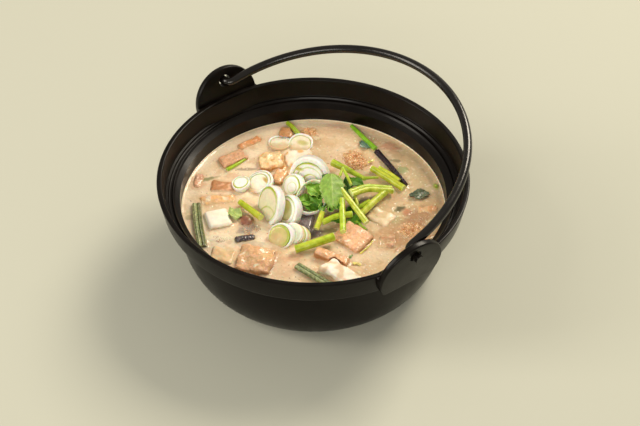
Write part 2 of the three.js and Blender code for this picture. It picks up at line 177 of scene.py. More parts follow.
# The profile runs up the outside, over the rim, down the stepped seat, and down the inside.
inside_curve = body_curve(BODY_RADIUS - WALL, BASE_RADIUS - WALL, FLOOR, COLLAR_FOOT)
pot_profile = eased(
    [(0, 0, 0)]
    + body_curve(BODY_RADIUS, BASE_RADIUS, 0, COLLAR_FOOT)
    + [
        (COLLAR_RADIUS, COLLAR_FOOT, 1.4),
        (rim_radius, RIM_HEIGHT, 1.1),
        (rim_radius - RIM_LAND, RIM_HEIGHT, 0.8),
        (SEAT_RADIUS + 1.3, SEAT_HEIGHT + 0.3, 0.5),
        (SEAT_RADIUS + 0.25, SEAT_HEIGHT + 0.35, 0.35),
        (SEAT_RADIUS - 0.6, SEAT_HEIGHT - 1.0, 0.4),
        (SEAT_INSIDE + 0.9, SEAT_HEIGHT - 1.2, 0.4),
        (SEAT_INSIDE, SEAT_HEIGHT - 0.3, 0.35),
        (SEAT_INSIDE - 1.1, SEAT_HEIGHT - 1.5, 0.5),
    ]
    + inside_curve[::-1]
    + [(0, FLOOR, 0)]
)
pot = turned("iron_pot", pot_profile, POT_SEGMENTS)

EAR_RADIUS = 23
EAR_CENTRE = 67.5
EAR_FOOT = 53.5
EAR_THICKNESS = 4.3
EAR_FACE = 98.8
EAR_LEAN = math.radians(12)
EAR_EASING = 1.3
EAR_SEGMENTS = 72
CAST_EDGE = math.radians(32)
WEB_DEPTH = 4
WEB_TOP = -0.9
HINGE_HEIGHT = 81
HOLE_RADIUS = 4.2
HOLE_SEGMENTS = 48
DRILL_REACH = 120


def ear_plate(name, inside, outside, top, side, easing):
    """A round-topped plate, cut off level at its foot and at a height, leaning out from the rim."""
    outline = []
    for angle in round_angles(EAR_SEGMENTS):
        across = EAR_RADIUS * math.cos(angle)
        height = EAR_CENTRE - RIM_HEIGHT + EAR_RADIUS * math.sin(angle)
        if EAR_FOOT - RIM_HEIGHT < height < top:
            outline.append((across, height))
    for level in (EAR_FOOT - RIM_HEIGHT, top):
        rise = level - EAR_CENTRE + RIM_HEIGHT
        if abs(rise) < EAR_RADIUS:
            half = math.sqrt(EAR_RADIUS**2 - rise**2)
            outline += [(-half, level), (half, level)]
    # The corners are put in order by their angle round a point inside the outline.
    middle = EAR_CENTRE - RIM_HEIGHT - 4
    outline.sort(key=lambda p: math.atan2(p[1] - middle, p[0]))
    points = [(inside, a, h) for a, h in outline] + [(outside, a, h) for a, h in outline]
    count = len(outline)
    faces = [tuple(range(count))[::-1], tuple(range(count, 2 * count))]
    faces += [(i, (i + 1) % count, count + (i + 1) % count, count + i) for i in range(count)]
    plate = solid(name, points, faces)
    if easing:
        bevel = plate.modifiers.new("eased", "BEVEL")
        bevel.width = easing * MM
        bevel.segments = 4
        bevel.angle_limit = math.radians(50)
        made_plain(plate)
    turn = Matrix.Rotation(side, 4, "Z") @ Matrix.Translation((EAR_FACE * MM, 0, RIM_HEIGHT * MM))
    plate.data.transform(turn @ Matrix.Rotation(EAR_LEAN, 4, "Y"))
    return facing_out(plate)


def cut_by(piece, tool, operation):
    """Joins the tool to the piece, or cuts it away, and removes the tool."""
    change = piece.modifiers.new("change", "BOOLEAN")
    change.operation = operation
    change.solver = "MANIFOLD"
    change.object = tool
    made_plain(piece)
    bpy.data.objects.remove(tool)


for side in (0, math.pi):
    plate = ear_plate("ear", 0, EAR_THICKNESS, EAR_RADIUS, side, EAR_EASING)
    web = ear_plate("web", -WEB_DEPTH, EAR_THICKNESS / 2, WEB_TOP, side, 0)
    cut_by(pot, plate, "UNION")
    cut_by(pot, web, "UNION")
drill = [(0, -DRILL_REACH), (HOLE_RADIUS, -DRILL_REACH), (HOLE_RADIUS, DRILL_REACH), (0, DRILL_REACH)]
pierce = turned("pierce", drill, HOLE_SEGMENTS)
pierce.data.transform(Matrix.Translation((0, 0, HINGE_HEIGHT * MM)) @ Matrix.Rotation(math.pi / 2, 4, "Y"))
cut_by(pot, pierce, "DIFFERENCE")
pot.data.shade_smooth()
pot.data.set_sharp_from_angle(angle=CAST_EDGE)


def colour(code):
    """An sRGB hex code as linear red, green, blue and alpha."""
    parts = [int(code[i : i + 2], 16) / 255 for i in (0, 2, 4)]
    return (*[p / 12.92 if p <= 0.04045 else ((p + 0.055) / 1.055) ** 2.4 for p in parts], 1)


def add(tree, kind, inputs=None, **settings):
    """Adds a node. An input takes a value, a socket, or a node, which stands for its first output."""
    made = tree.nodes.new(kind)
    for key, value in settings.items():
        setattr(made, key, value)
    for key, value in (inputs or {}).items():
        if isinstance(value, bpy.types.Node):
            value = value.outputs[0]
        if isinstance(value, bpy.types.NodeSocket):
            tree.links.new(value, made.inputs[key])
        else:
            made.inputs[key].default_value = value
    return made


def new_finish(name, constants):
    """A material whose shader has these constants. Gives the material, its tree and its shader."""
    finish = bpy.data.materials.new(name)
    finish.use_nodes = True
    shader = finish.node_tree.nodes["Principled BSDF"]
    for key, value in constants.items():
        shader.inputs[key].default_value = value
    return finish, finish.node_tree, shader


NOISE = "ShaderNodeTexNoise"
CELLS = "ShaderNodeTexVoronoi"


def pattern_of(tree, size, kind=NOISE):
    """A pattern that repeats about every size, in millimetres, fixed to the object."""
    place = add(tree, "ShaderNodeTexCoord").outputs["Object"]
    return add(tree, kind, {"Vector": place, "Scale": 1 / (size * MM)})


def ranged(tree, value, low, high, to_low, to_high):
    """A value from low to high, as one from to_low to to_high, with a smooth turn at both ends."""
    limits = {"From Min": low, "From Max": high, "To Min": to_low, "To Max": to_high}
    return add(tree, "ShaderNodeMapRange", {"Value": value, **limits}, interpolation_type="SMOOTHSTEP")


def ramp(tree, value, *stops):
    """A colour for each value, through (position, hex code) stops."""
    made = add(tree, "ShaderNodeValToRGB", {"Fac": value})
    marks = made.color_ramp.elements
    while len(marks) < len(stops):
        marks.new(0.5)
    for mark, (position, code) in zip(marks, stops):
        mark.position = position
        mark.color = colour(code)
    return made


def pimpled(tree, shader, layers):
    """Relief from (size in mm, depth in mm, kind) layers, laid one over the other."""
    under = {}
    for size, depth, kind in layers:
        inputs = {"Height": pattern_of(tree, size, kind), "Distance": depth * MM, "Strength": 1.0}
        under = {"Normal": add(tree, "ShaderNodeBump", {**inputs, **under})}
    tree.links.new(under["Normal"].outputs[0], shader.inputs["Normal"])


# Cast iron under a baked black coat: the sand mould's grain, about 0.5 mm, is drawn at 1.1 mm so that
# it shows, and slow waves in the casting break up the reflections.
baked_coat = {"Specular IOR Level": 0.12, "IOR": 1.5, "Coat Weight": 0.12, "Coat Roughness": 0.16}
black_iron, tree, shader = new_finish("baked_black_cast_iron", baked_coat)
cloud = pattern_of(tree, 14)
tree.links.new(ramp(tree, cloud, (0.32, "080503"), (0.72, "0f0a07")).outputs[0], shader.inputs[0])
tree.links.new(ranged(tree, cloud, 0.3, 0.7, 0.3, 0.4).outputs[0], shader.inputs["Roughness"])
pimpled(tree, shader, [(1.1, 0.05, NOISE), (14, 0.12, NOISE)])
placed_on(pot, black_iron, "pot", "pot")

# ---------------------------------------------------------------- The bail
# A round iron rod, forged into half an oval. Its two ends are bent out through the ears' holes, and
# turn there. It has the pot's black finish, worn smoother by hands.
BAIL_HALF_WIDTH = 96.8
BAIL_REACH = 99.5
BAIL_LEAN = math.radians(13.3)
BAIL_ROD_RADIUS = 2.8
BAIL_BEND = 4.6
BAIL_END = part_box("bail_handle")[1].x / MM


def new_nodes(name, result, **kinds):
    """A Geometry Nodes tree with these inputs and one result. Gives the tree and its inputs."""
    tree = bpy.data.node_groups.new(name, "GeometryNodeTree")
    for label, kind in kinds.items():
        tree.interface.new_socket(label, in_out="INPUT", socket_type="NodeSocket" + kind)
    tree.interface.new_socket(result, in_out="OUTPUT", socket_type="NodeSocketGeometry")
    return tree, add(tree, "NodeGroupInput").outputs


# Sweeps a ribbed round section along a path and closes both ends. "rib" is kept for the finish as
# the height of the ribs, and "along" as the share of the way along the path.
sweep, given = new_nodes(
    "sweep_along_path", "Rod", Path="Geometry", Radius="Float", Step="Float", Ribs="Float",
    Depth="Float", Taper="Float", Finish="Material",
)
line = add(sweep, "GeometryNodeMeshToCurve", {"Mesh": given["Path"]})
even = add(sweep, "GeometryNodeResampleCurve", {"Curve": line, "Length": given["Step"]}, mode="LENGTH")
along = add(sweep, "GeometryNodeSplineParameter")
thinner = add(sweep, "ShaderNodeMath", {0: along, 1: given["Taper"], 2: 1.0}, operation="MULTIPLY_ADD")
circle = add(sweep, "GeometryNodeCurvePrimitiveCircle", {"Resolution": 28, "Radius": 1.0})
spot = add(sweep, "GeometryNodeInputPosition")
parts = add(sweep, "ShaderNodeSeparateXYZ", {"Vector": spot}).outputs
angle = add(sweep, "ShaderNodeMath", {0: parts["Y"], 1: parts["X"]}, operation="ARCTAN2")
phase = add(sweep, "ShaderNodeMath", {0: angle, 1: given["Ribs"]}, operation="MULTIPLY")
rib = add(sweep, "ShaderNodeMath", {0: phase}, operation="COSINE")
reach = add(sweep, "ShaderNodeMath", {0: rib, 1: given["Depth"], 2: 1.0}, operation="MULTIPLY_ADD")
size = add(sweep, "ShaderNodeMath", {0: reach, 1: given["Radius"]}, operation="MULTIPLY")
moved = add(sweep, "ShaderNodeVectorMath", {"Vector": spot, "Scale": size}, operation="SCALE")
section = add(sweep, "GeometryNodeSetPosition", {"Geometry": circle, "Position": moved})
store = {"data_type": "FLOAT", "domain": "POINT"}
ribbed = {"Geometry": section, "Name": "rib", "Value": rib}
ribbed = add(sweep, "GeometryNodeStoreNamedAttribute", ribbed, **store)
measured = {"Geometry": even, "Name": "along", "Value": along}
measured = add(sweep, "GeometryNodeStoreNamedAttribute", measured, **store)
swept = {"Curve": measured, "Profile Curve": ribbed, "Scale": thinner, "Fill Caps": True}
swept = add(sweep, "GeometryNodeCurveToMesh", swept)
real = add(sweep, "GeometryNodeRealizeInstances", {"Geometry": swept})
coated = add(sweep, "GeometryNodeSetMaterial", {"Geometry": real, "Material": given["Finish"]})
add(sweep, "NodeGroupOutput", {"Rod": coated})


def with_nodes(piece, tree, **inputs):
    """Runs Geometry Nodes on the piece, its inputs given by name, and makes the result plain."""
    nodes = piece.modifiers.new("nodes", "NODES")
    nodes.node_group = tree
    for item in tree.interface.items_tree:
        if item.name in inputs and item.in_out == "INPUT":
            nodes[item.identifier] = inputs[item.name]
    return made_plain(piece)


def smooth_path(points, count):
    """A smooth path through the points, in steps of equal share of each span."""
    line = []
    spans = len(points) - 1
    given = [Vector(p) for p in points]
    given = [2 * given[0] - given[1]] + given + [2 * given[-1] - given[-2]]
    for i in range(count + 1):
        whole = min(int(i * spans / count), spans - 1)
        t = i * spans / count - whole
        a, b, c, d = given[whole : whole + 4]
        bend = 2 * a - 5 * b + 4 * c - d
        twist = 3 * b - a - 3 * c + d
        line.append(0.5 * (2 * b + (c - a) * t + bend * t**2 + twist * t**3))
    return line


def path_piece(name, line, closed=False):
    """A mesh of edges only, along a line of points in millimetres."""
    mesh = bpy.data.meshes.new(name)
    edges = [(i, i + 1) for i in range(len(line) - 1)]
    if closed:
        edges.append((len(line) - 1, 0))
    mesh.from_pydata([Vector(p) * MM for p in line], edges, [])
    return linked(name, mesh)


# The half oval starts a little way in from the hinge line, and the bend leads over to the end.
ROD_SPANS = 28
ROD_STEPS = 340
SHARP_EDGE = math.radians(50)
BEND_RUN = 1.75
BEND_EASE = 0.27
rod_start = math.asin(BEND_RUN * BAIL_BEND / BAIL_REACH)
rod_arc = []
for i in range(ROD_SPANS + 1):
    angle = rod_start + (math.pi - 2 * rod_start) * i / ROD_SPANS
    rod_arc.append((BAIL_HALF_WIDTH * math.cos(angle), BAIL_REACH * math.sin(angle), 0))
rod_end = [
    (BAIL_END, 0, 0),
    (BAIL_HALF_WIDTH + BAIL_BEND, 0, 0),
    (BAIL_HALF_WIDTH + BEND_EASE * BAIL_BEND, BEND_EASE * BAIL_BEND, 0),
    (BAIL_HALF_WIDTH, BAIL_BEND, 0),
]
rod_route = rod_end + rod_arc + [(-x, y, z) for x, y, z in reversed(rod_end)]
bail = path_piece("iron_bail", smooth_path(rod_route, ROD_STEPS))
bail.data.transform(Matrix.Translation((0, 0, HINGE_HEIGHT * MM)) @ Matrix.Rotation(BAIL_LEAN, 4, "X"))
# Where hands have rubbed the coat, the rod shines more than the pot.
worn_iron = black_iron.copy()
worn_iron.name = "hand_worn_black_iron"
worn_gloss = next(n for n in worn_iron.node_tree.nodes if n.type == "MAP_RANGE")
worn_gloss.inputs["To Min"].default_value = 0.18
worn_gloss.inputs["To Max"].default_value = 0.28
worn_iron.node_tree.nodes["Principled BSDF"].inputs["Specular IOR Level"].default_value = 0.5
with_nodes(bail, sweep, Radius=BAIL_ROD_RADIUS * MM, Step=1.2 * MM, Ribs=2.0, Depth=0.0, Finish=worn_iron)
bail.data.shade_smooth()
bail.data.set_sharp_from_angle(angle=SHARP_EDGE)
placed_on(bail, worn_iron, "handle", "bail_handle", body="bail")

# ---------------------------------------------------------------- Tofu
# White bean curd, cut in cubes and simmered: soft edges, a close-grained face, and torn corners that
# look fluffy. It is moist, and light goes a little way into it.
BROTH = colour("dfc197")
SEEN_THROUGH = 0.07
soup_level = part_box("soup")[1].z / MM


def filmed(tree, shade, reach):
    """Broth over a shade, up to a ragged line above the soup and where the tint's alpha is low.

    The line is about as high above the soup as the reach, in millimetres.
    """
    place = add(tree, "ShaderNodeTexCoord").outputs["Object"]
    height = add(tree, "ShaderNodeSeparateXYZ", {"Vector": place}).outputs["Z"]
    ragged = {0: pattern_of(tree, 2.4), 1: -1.8 * reach * MM, 2: height}
    edge = add(tree, "ShaderNodeMath", ragged, operation="MULTIPLY_ADD")
    low = ranged(tree, edge, (soup_level - reach) * MM, (soup_level + 0.4 * reach) * MM, 0.0, 1.0)
    bare = add(tree, "ShaderNodeAttribute", attribute_name="tint").outputs["Alpha"]
    left = add(tree, "ShaderNodeMath", {0: low, 1: bare}, operation="MULTIPLY")
    covered = {0: left, 1: 1 - SEEN_THROUGH, 2: SEEN_THROUGH}
    share = add(tree, "ShaderNodeMath", covered, operation="MULTIPLY_ADD")
    return add(tree, "ShaderNodeMix", {0: share, 6: BROTH, 7: shade}, data_type="RGBA").outputs[2]


def tinted(tree, low, high, grain):
    """The piece's own tint, made lighter and darker in patches of a size."""
    tint = add(tree, "ShaderNodeAttribute", attribute_name="tint").outputs["Color"]
    level = ranged(tree, pattern_of(tree, grain), 0.3, 0.7, low, high)
    return add(tree, "ShaderNodeVectorMath", {"Vector": tint, "Scale": level}, operation="SCALE").outputs[0]


# All the food is mostly water: light spreads a little under its surface, and a film of broth shines.
WET = {
    "Roughness": 0.34,
    "IOR": 1.38,
    "Subsurface Weight": 0.3,
    "Subsurface Scale": 1.4 * MM,
    "Coat Weight": 0.5,
    "Coat Roughness": 0.1,
}
# Pressed curd has pores of about 1 mm, which break its shine up, so it looks chalky beside the rest.
soft_tofu, tree, shader = new_finish("simmered_white_tofu", {**WET, "Roughness": 0.42, "Coat Weight": 0.25})
tree.links.new(filmed(tree, tinted(tree, 0.95, 1.03, 3.5), 1.5), shader.inputs[0])
pimpled(tree, shader, [(3.2, 0.16, NOISE), (0.9, 0.05, NOISE)])


def blend(a, b, share):
    """Two colours mixed by a share from 0 to 1."""
    share = min(max(share, 0), 1)
    return tuple(x + (y - x) * share for x, y in zip(a, b))


def step(low, high, value):
    """0 below low, 1 above high, and a smooth rise between."""
    t = min(max((value - low) / (high - low), 0), 1)
    return t * t * (3 - 2 * t)


def ripple(spot, size, seed):
    """Smooth noise between -1 and 1, in waves of a size in millimetres."""
    return noise.noise(Vector(spot) / size + Vector((seed * 7.3, seed * 3.1, seed * 5.7)))


def wetted(tint, bare):
    """The tint with a share that is bare of broth as its alpha."""
    return (*tint[:3], min(max(bare, 0), 1))


CREASE = 0.09


def rounded_block(name, node, softness, relief, tint_of, seed, voxel=0.5):
    """A block of the frame, rounded by remeshing, then given its relief and tints.

    Relief is (size, depth) pairs in millimetres. A depth below 0 cuts creases instead of waves,
    where the noise is within CREASE of 0.
    """
    piece = facing_out(linked(name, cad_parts[node].data.copy()))
    remesh = piece.modifiers.new("remesh", "REMESH")
    remesh.mode = "VOXEL"
    remesh.voxel_size = voxel * MM
    smooth = piece.modifiers.new("smooth", "SMOOTH")
    smooth.factor = 0.5
    smooth.iterations = softness
    made_plain(piece)
    mesh = piece.data
    low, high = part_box(node)
    centre = (low + high) / 2 / MM
    tints = []
    places = []
    for vertex in mesh.vertices:
        spot = vertex.co / MM
        rise = 0
        for k, (size, depth) in enumerate(relief):
            wave = ripple(spot, size, seed + k)
            rise += depth * (wave if depth > 0 else math.exp(-((wave / CREASE) ** 2)))
        places.append(vertex.co + vertex.normal * rise * MM)
        tints.append(tint_of(spot, spot - centre, vertex.normal))
    keep_tints(mesh, tints)
    mesh.vertices.foreach_set("co", np.asarray(places, np.float32).ravel())
    mesh.update()
    mesh.shade_smooth()
    return piece


TOFU_WHITE = colour("fff6e6")
TOFU_CREAM = colour("f5dfb8")
TOFU_SHADED = colour("ead0a6")
# Each by the softness of its form, its relief, how creamy it is, and how much broth lies on it.
tofu_blocks = {
    "tofu_cube": (2, [(9, 0.3), (2.4, 0.08)], 0.0, 0.0),
    "tofu_corner": (3, [(9, 1.5), (3.2, 0.3), (1.4, 0.12)], 0.15, 0.1),
    "tofu_pale": (8, [(7, 1.2), (3, 0.4)], 1.0, 0.25),
    "tofu_large": (2, [(6, 1.1), (2.6, 0.6), (1.3, 0.2)], 0.25, 0.15),
    "tofu_sunk": (14, [(6, 1.5), (3, 0.5)], 0.7, 0.8),
}
# Some have taken colour in patches, and on the corner block the patch is painted shade: the colour, and the
# noise level at which it starts.
warm_patches = {
    "tofu_large": ("f0b468", 0.05),
    "tofu_pale": ("f3cb98", -0.5),
    # The corner's pinker, darker patch is painted shade.
    "tofu_corner": ("e6c8a4", -0.05),
}
for seed, (node, (softness, relief, creaminess, cover)) in enumerate(tofu_blocks.items()):

    def tofu_tint(spot, inside, normal):
        base = blend(TOFU_WHITE, TOFU_CREAM, creaminess + 0.4 * ripple(spot, 5, seed + 9))
        if node in warm_patches:
            code, least = warm_patches[node]
            base = blend(base, colour(code), 0.9 * step(least, least + 0.4, ripple(spot, 4.2, 33)))
        base = blend(base, TOFU_SHADED, 0.45 * (1 - step(-0.1, 0.6, normal.z)))
        return wetted(base, 1 - cover * step(-0.2, 0.35, ripple(spot, 5, seed + 3)))

    piece = rounded_block(node + "_curd", node, softness, relief, tofu_tint, seed)
    placed_on(piece, soft_tofu, "tofu", node)

# ---------------------------------------------------------------- Fried tofu
# Blocks and slabs of tofu fried in oil, with a creased golden skin, simmered until it is soft and
# shining. Where they are cut, the pale inside shows.
# The soaked skin is glossy, and its blisters, 1 to 2 mm across, scatter small bright points over it.
fried_skin, tree, shader = new_finish("simmered_fried_tofu_skin", {**WET, "IOR": 1.4, "Coat Weight": 0.7})
tree.links.new(filmed(tree, tinted(tree, 0.84, 1.12, 2.0), 1.2), shader.inputs[0])
pimpled(tree, shader, [(2.2, 0.3, NOISE), (1.0, 0.2, NOISE), (1.4, 0.12, CELLS)])

SKIN_ROSE = colour("edbd9b")
SKIN_GOLD = colour("eba458")
CUT_INSIDE = colour("faead0")
# Each by the softness of its form, its relief, the colour of its top and the darker colour of its sides,
# which is painted shade, how much of the pale inside shows in patches, and how much broth lies on it.
fried_blocks = {
    "fried_tofu_wedge": (2, [(8, 0.5), (2.2, 0.2)], "e0ae7f", "a86c3a", 0.05, 0.1),
    "fried_tofu_browned": (2, [(9, 0.6), (2.4, 0.3), (1.3, 0.3)], "edb88e", "c08552", 0.15, 0.3),
    "fried_tofu_chunk": (18, [(10, 2.4), (4.5, 0.7), (2, 0.25)], "e4b484", "b8845a", 0.2, 0.5),
    "fried_tofu_smooth": (4, [(9, 0.5)], "c48a5c", "ae764a", 0.0, 0.0),
    "fried_tofu_pale": (4, [(6, 1.0), (2, 0.4)], "eeb87c", "d89c60", 0.5, 0.25),
    "fried_tofu_bar": (3, [(7, 0.5), (1.9, 0.3)], "dfab84", "b07b3e", 0.05, 0.1),
    "fried_tofu_strip": (4, [(5, 0.6), (2, 0.3)], "e3a069", "c9854d", 0.2, 0.3),
    "fried_tofu_far": (5, [(5, 0.9), (2, 0.4)], "c8915f", "a87343", 0.05, 0.1),
    "fried_tofu_large": (3, [(5, 1.4), (2.2, 0.6), (1.2, 0.2)], "f8d6a2", "cf9050", 0.18, 0.1),
    "fried_tofu_corner": (5, [(6, 0.9), (2, 0.4)], "eab884", "d19a66", 0.15, 0.2),
    "fried_tofu_sunk": (10, [(5, 1.4), (2, 0.6)], "bd8460", "a87454", 0.05, 0.4),
    "fried_tofu_wall": (4, [(5, 0.8), (1.8, 0.4)], "d9a06c", "b97d4a", 0.05, 0.3),
    "fried_tofu_edge": (5, [(4, 0.9), (1.8, 0.4)], "d8a586", "bf8a68", 0.1, 0.45),
}
for seed, (node, values) in enumerate(fried_blocks.items()):
    softness, relief, top_code, shaded_side_code, pale_share, cover = values
    top_tint = colour(top_code)
    shaded_side_tint = colour(shaded_side_code)
    spot_tint = SKIN_GOLD if node == "fried_tofu_large" else SKIN_ROSE

    def fried_tint(spot, inside, normal):
        # Faces that turn away from up take the darker side colour: painted shade.
        skin = blend(shaded_side_tint, top_tint, step(0.1, 0.75, normal.z))
        skin = blend(skin, spot_tint, 0.75 * step(0.1, 0.5, ripple(spot, 3.6, seed + 4)))
        skin = blend(skin, CUT_INSIDE, step(0.55 - pale_share, 0.85 - pale_share, ripple(spot, 4.5, seed)))
        return wetted(skin, 1 - cover * step(0.0, 0.45, ripple(spot, 5.5, seed + 6)))

    piece = rounded_block(node + "_skin", node, softness, relief, fried_tint, seed + 20)
    placed_on(piece, fried_skin, "fried_tofu", node)

# ---------------------------------------------------------------- Konnyaku
# Two cut pieces of grey konjac jelly: firm, wet, a little clear, with dark specks of seaweed in it.
# They are simmered in the broth, which barely colours them, and their shine is sharp, as on glass.
jelly, tree, shader = new_finish(
    "wet_konjac_jelly", {**WET, "Roughness": 0.2, "Coat Weight": 0.9, "Coat Roughness": 0.05}
)
specked = ramp(tree, pattern_of(tree, 1.1, CELLS), (0.14, "4a4242"), (0.34, "ffffff"))
spotted = {0: 0.8, 6: tinted(tree, 0.75, 1.2, 3), 7: specked}
spotted = add(tree, "ShaderNodeMix", spotted, data_type="RGBA", blend_type="MULTIPLY").outputs[2]
tree.links.new(filmed(tree, spotted, 0.6), shader.inputs[0])
pimpled(tree, shader, [(3.2, 0.6, NOISE), (1.0, 0.14, NOISE)])
JELLY_GREY = colour("857879")
JELLY_DARK = colour("463c3f")
for seed, (node, share) in enumerate((("konnyaku_block", 0.25), ("konnyaku_strip", 0.85))):

    def jelly_tint(spot, inside, normal):
        return blend(JELLY_GREY, JELLY_DARK, share + 0.6 * ripple(spot, 5, seed))

    relief = [(4, 0.5), (3.0, -0.5 * share), (1.6, 0.15)]
    piece = rounded_block(node + "_jelly", node, 4, relief, jelly_tint, seed + 40, 0.45)
    placed_on(piece, jelly, "konnyaku", node)

# ---------------------------------------------------------------- Mushroom
# One cap of a slippery little mushroom, reddish brown above and mauve grey at its edge, half sunk.
# It is boiled whole, and the slime on it gives an even wet shine over faint folds.
slick_cap, tree, shader = new_finish("slippery_mushroom_cap", {**WET, "Roughness": 0.28})
tree.links.new(filmed(tree, tinted(tree, 0.8, 1.15, 2.4), 1.2), shader.inputs[0])
pimpled(tree, shader, [(3, 0.3, NOISE), (1.2, 0.1, NOISE)])
CAP_BROWN = colour("925f4a")
CAP_MAUVE = colour("8a7874")


def cap_tint(spot, inside, normal):
    """Browner on top, greyer down the side, and broth over part of it."""
    tint = blend(CAP_MAUVE, CAP_BROWN, step(-0.6, 1.6, inside.z + 1.5 * ripple(spot, 4, 3)))
    return wetted(tint, 1 - 0.6 * step(0.0, 0.5, ripple(spot, 4, 8)))


cap = rounded_block("mushroom_cap_wet", "mushroom_cap", 6, [(4, 0.7), (2, 0.2)], cap_tint, 50, 0.45)
placed_on(cap, slick_cap, "mushroom", "mushroom_cap")

# ---------------------------------------------------------------- Leek slices
# Rounds of raw white leek, cut across at a slant. Each is a nest of rings that have slipped a little:
# white outer layers round half-clear inner ones, with a yellow-green line where two layers meet.
# Raw leek is crisp and juicy, so light spreads deep in it and it seems to glow, under a smooth wet skin.
raw_leek, tree, shader = new_finish(
    "raw_leek_layers", {**WET, "Roughness": 0.3, "Subsurface Weight": 0.6, "Subsurface Scale": 1.6 * MM}
)
tree.links.new(filmed(tree, tinted(tree, 0.95, 1.04, 2.2), 0.7), shader.inputs[0])
pimpled(tree, shader, [(2.2, 0.14, NOISE), (0.8, 0.03, NOISE)])

LEEK_WHITE = colour("fffdf4")
LEEK_CLEAR = colour("ebe6d3")
LEEK_LINE = colour("b3c42e")
LEEK_OLIVE = colour("c6bd5c")
# The food is laid out in directions of its own, which are turned from the frame's by this angle.
CONTENTS_TURN = math.radians(54.2)


def laid(at, turn=0, tip=0, roll=0):
    """The place of a piece in the pot: in millimetres before, in metres in the row's frame after."""
    turns = [Matrix.Rotation(math.radians(a), 4, axis) for a, axis in ((turn, "Z"), (tip, "Y"), (roll, "X"))]
    contents = Matrix.Rotation(CONTENTS_TURN, 4, "Z") @ Matrix.Translation(Vector(at) * MM)
    return contents @ turns[0] @ turns[1] @ turns[2]


def tube_faces(start, around, along, closed_along=True):
    """Faces between sections of points, the sections in a closed ring, each section closed or open."""
    faces = []
    for i in range(around):
        near = start + i * along
        far = start + (i + 1) % around * along
        for k in range(along if closed_along else along - 1):
            after = (k + 1) % along
            faces.append((near + k, near + after, far + after, far + k))
    return faces


def cap_faces(start, around, along, first, last):
    """Closes a ring of open sections, from their first and last points to two middle points."""
    faces = []
    for i in range(around):
        near = start + i * along
        far = start + (i + 1) % around * along
        faces.append((near, far, first))
        faces.append((near + along - 1, far + along - 1, last))
    return faces


SLICE_SIDES = 96
CORE_RINGS = 24
LINE_DEPTH = 0.2
SHELL_EASING = 0.45
SHELL_OVERLAP = 0.12


def shell_section(wide, low, high, line):
    """Across one shell, from its outside in: (distance, height, tint) points, with eased edges."""
    ease = min(SHELL_EASING, wide / 3)
    return [
        (0, low, line),
        (0, high - ease, line),
        (0.3 * ease, high - 0.3 * ease, line),
        (ease, high, blend(LEEK_WHITE, line, 0.5)),
        (wide / 2, high + 0.15, LEEK_WHITE),
        (wide - ease, high, LEEK_WHITE),
        (wide - 0.3 * ease, high - 0.3 * ease, LEEK_CLEAR),
        (wide, high - ease, LEEK_CLEAR),
        (wide, low, LEEK_CLEAR),
    ]


def marked(right, up, z, tint, lines, blotches, strength):
    """The height and tint of a slice's face at a place, once its blotches and lines are on it."""
    for x, y, wide, tall, patch in blotches:
        tint = blend(tint, patch, 1.2 - ((right - x) / wide) ** 2 - ((up - y) / tall) ** 2)
    for x, y, ring_radius, wide, green in lines:
        off = abs(math.hypot(right - x, up - y) - ring_radius)
        near = (0.45 + 0.55 * strength) * min(max(1.3 - off / wide, 0), 1)
        tint = blend(tint, green, near)
        z -= LINE_DEPTH * near
    return z, tint


def leek_slice(name, radius, shells, face, lines, blotches, bright, sunk_to, seed):
    """A slice of nested shells, seen along Z, with -X up and +Y to the right on its face.

    A shell is (share of the radius, right, up, low, high). The last one is the core. A line is
    (right, up, radius, width, colour) and a blotch (right, up, half width, half height, colour).
    Lines are strongest towards the bright angle. Below sunk_to the broth covers the slice.
    """
    points, tints, faces = [], [], []

    def spot_at(i, share, right, up, reach=None):
        angle = 2 * math.pi * i / SLICE_SIDES
        swell = 1 + 0.05 * ripple((math.cos(angle), math.sin(angle), 0), 0.8, seed)
        out = (share * radius if reach is None else reach) * swell
        return Vector((-(up + out * math.sin(angle)), right + out * math.cos(angle), 0))

    def strength(spot):
        toward = math.cos(math.atan2(-spot.x, spot.y) - math.radians(bright))
        return 0.15 + 0.85 * step(-0.5, 0.5, toward)

    def keep(spot, z, tint):
        bare = step(sunk_to - 2.5, sunk_to + 2.5, -spot.x + 1.5 * ripple(spot, 3, seed + 2))
        points.append((spot.x, spot.y, z))
        tints.append(wetted(tint, bare))

    for k, (share, right, up, low, high) in enumerate(shells[:-1]):
        start = len(points)
        for i in range(SLICE_SIDES):
            outer = spot_at(i, share, right, up)
            inner = spot_at(i, *shells[k + 1][:3]) + SHELL_OVERLAP * outer.normalized()
            way = inner - outer
            wide = way.length
            way.normalize()
            line = blend(LEEK_WHITE, LEEK_LINE, strength(outer) * 0.9 if k else 0.0)
            wave = 0.3 * ripple(outer, 4, seed + k)
            section = shell_section(wide, low, high, line)
            for out, z, tint in section:
                keep(outer + out * way, z + wave, tint)
        faces += tube_faces(start, SLICE_SIDES, len(section))
    share, right, up, low, high = shells[-1]
    start = len(points)
    reach = share * radius
    along = CORE_RINGS + 3
    for i in range(SLICE_SIDES):
        outer = spot_at(i, share, right, up)
        rim = strength(outer)
        keep(outer, low, blend(LEEK_WHITE, LEEK_LINE, rim))
        keep(outer, high - 0.4, blend(LEEK_WHITE, LEEK_LINE, rim))
        for ring in range(CORE_RINGS + 1):
            out = (reach - 0.25) * (1 - ring / (CORE_RINGS + 1))
            spot = spot_at(i, share, right, up, out)
            tint = blend(face, LEEK_LINE, rim * (0.9 - 0.6 * ring))
            z = high + 0.22 * ripple(spot, 3.5, seed + 1)
            z, tint = marked(spot.y, -spot.x, z, tint, lines, blotches, strength(spot))
            keep(spot, z, tint)
    faces += tube_faces(start, SLICE_SIDES, along, closed_along=False)
    faces += cap_faces(start, SLICE_SIDES, along, len(points) + 1, len(points))
    keep(Vector((-up, right, 0)), high, face)
    keep(Vector((-up, right, 0)), low, face)
    return facing_out(solid(name, points, faces, tints))


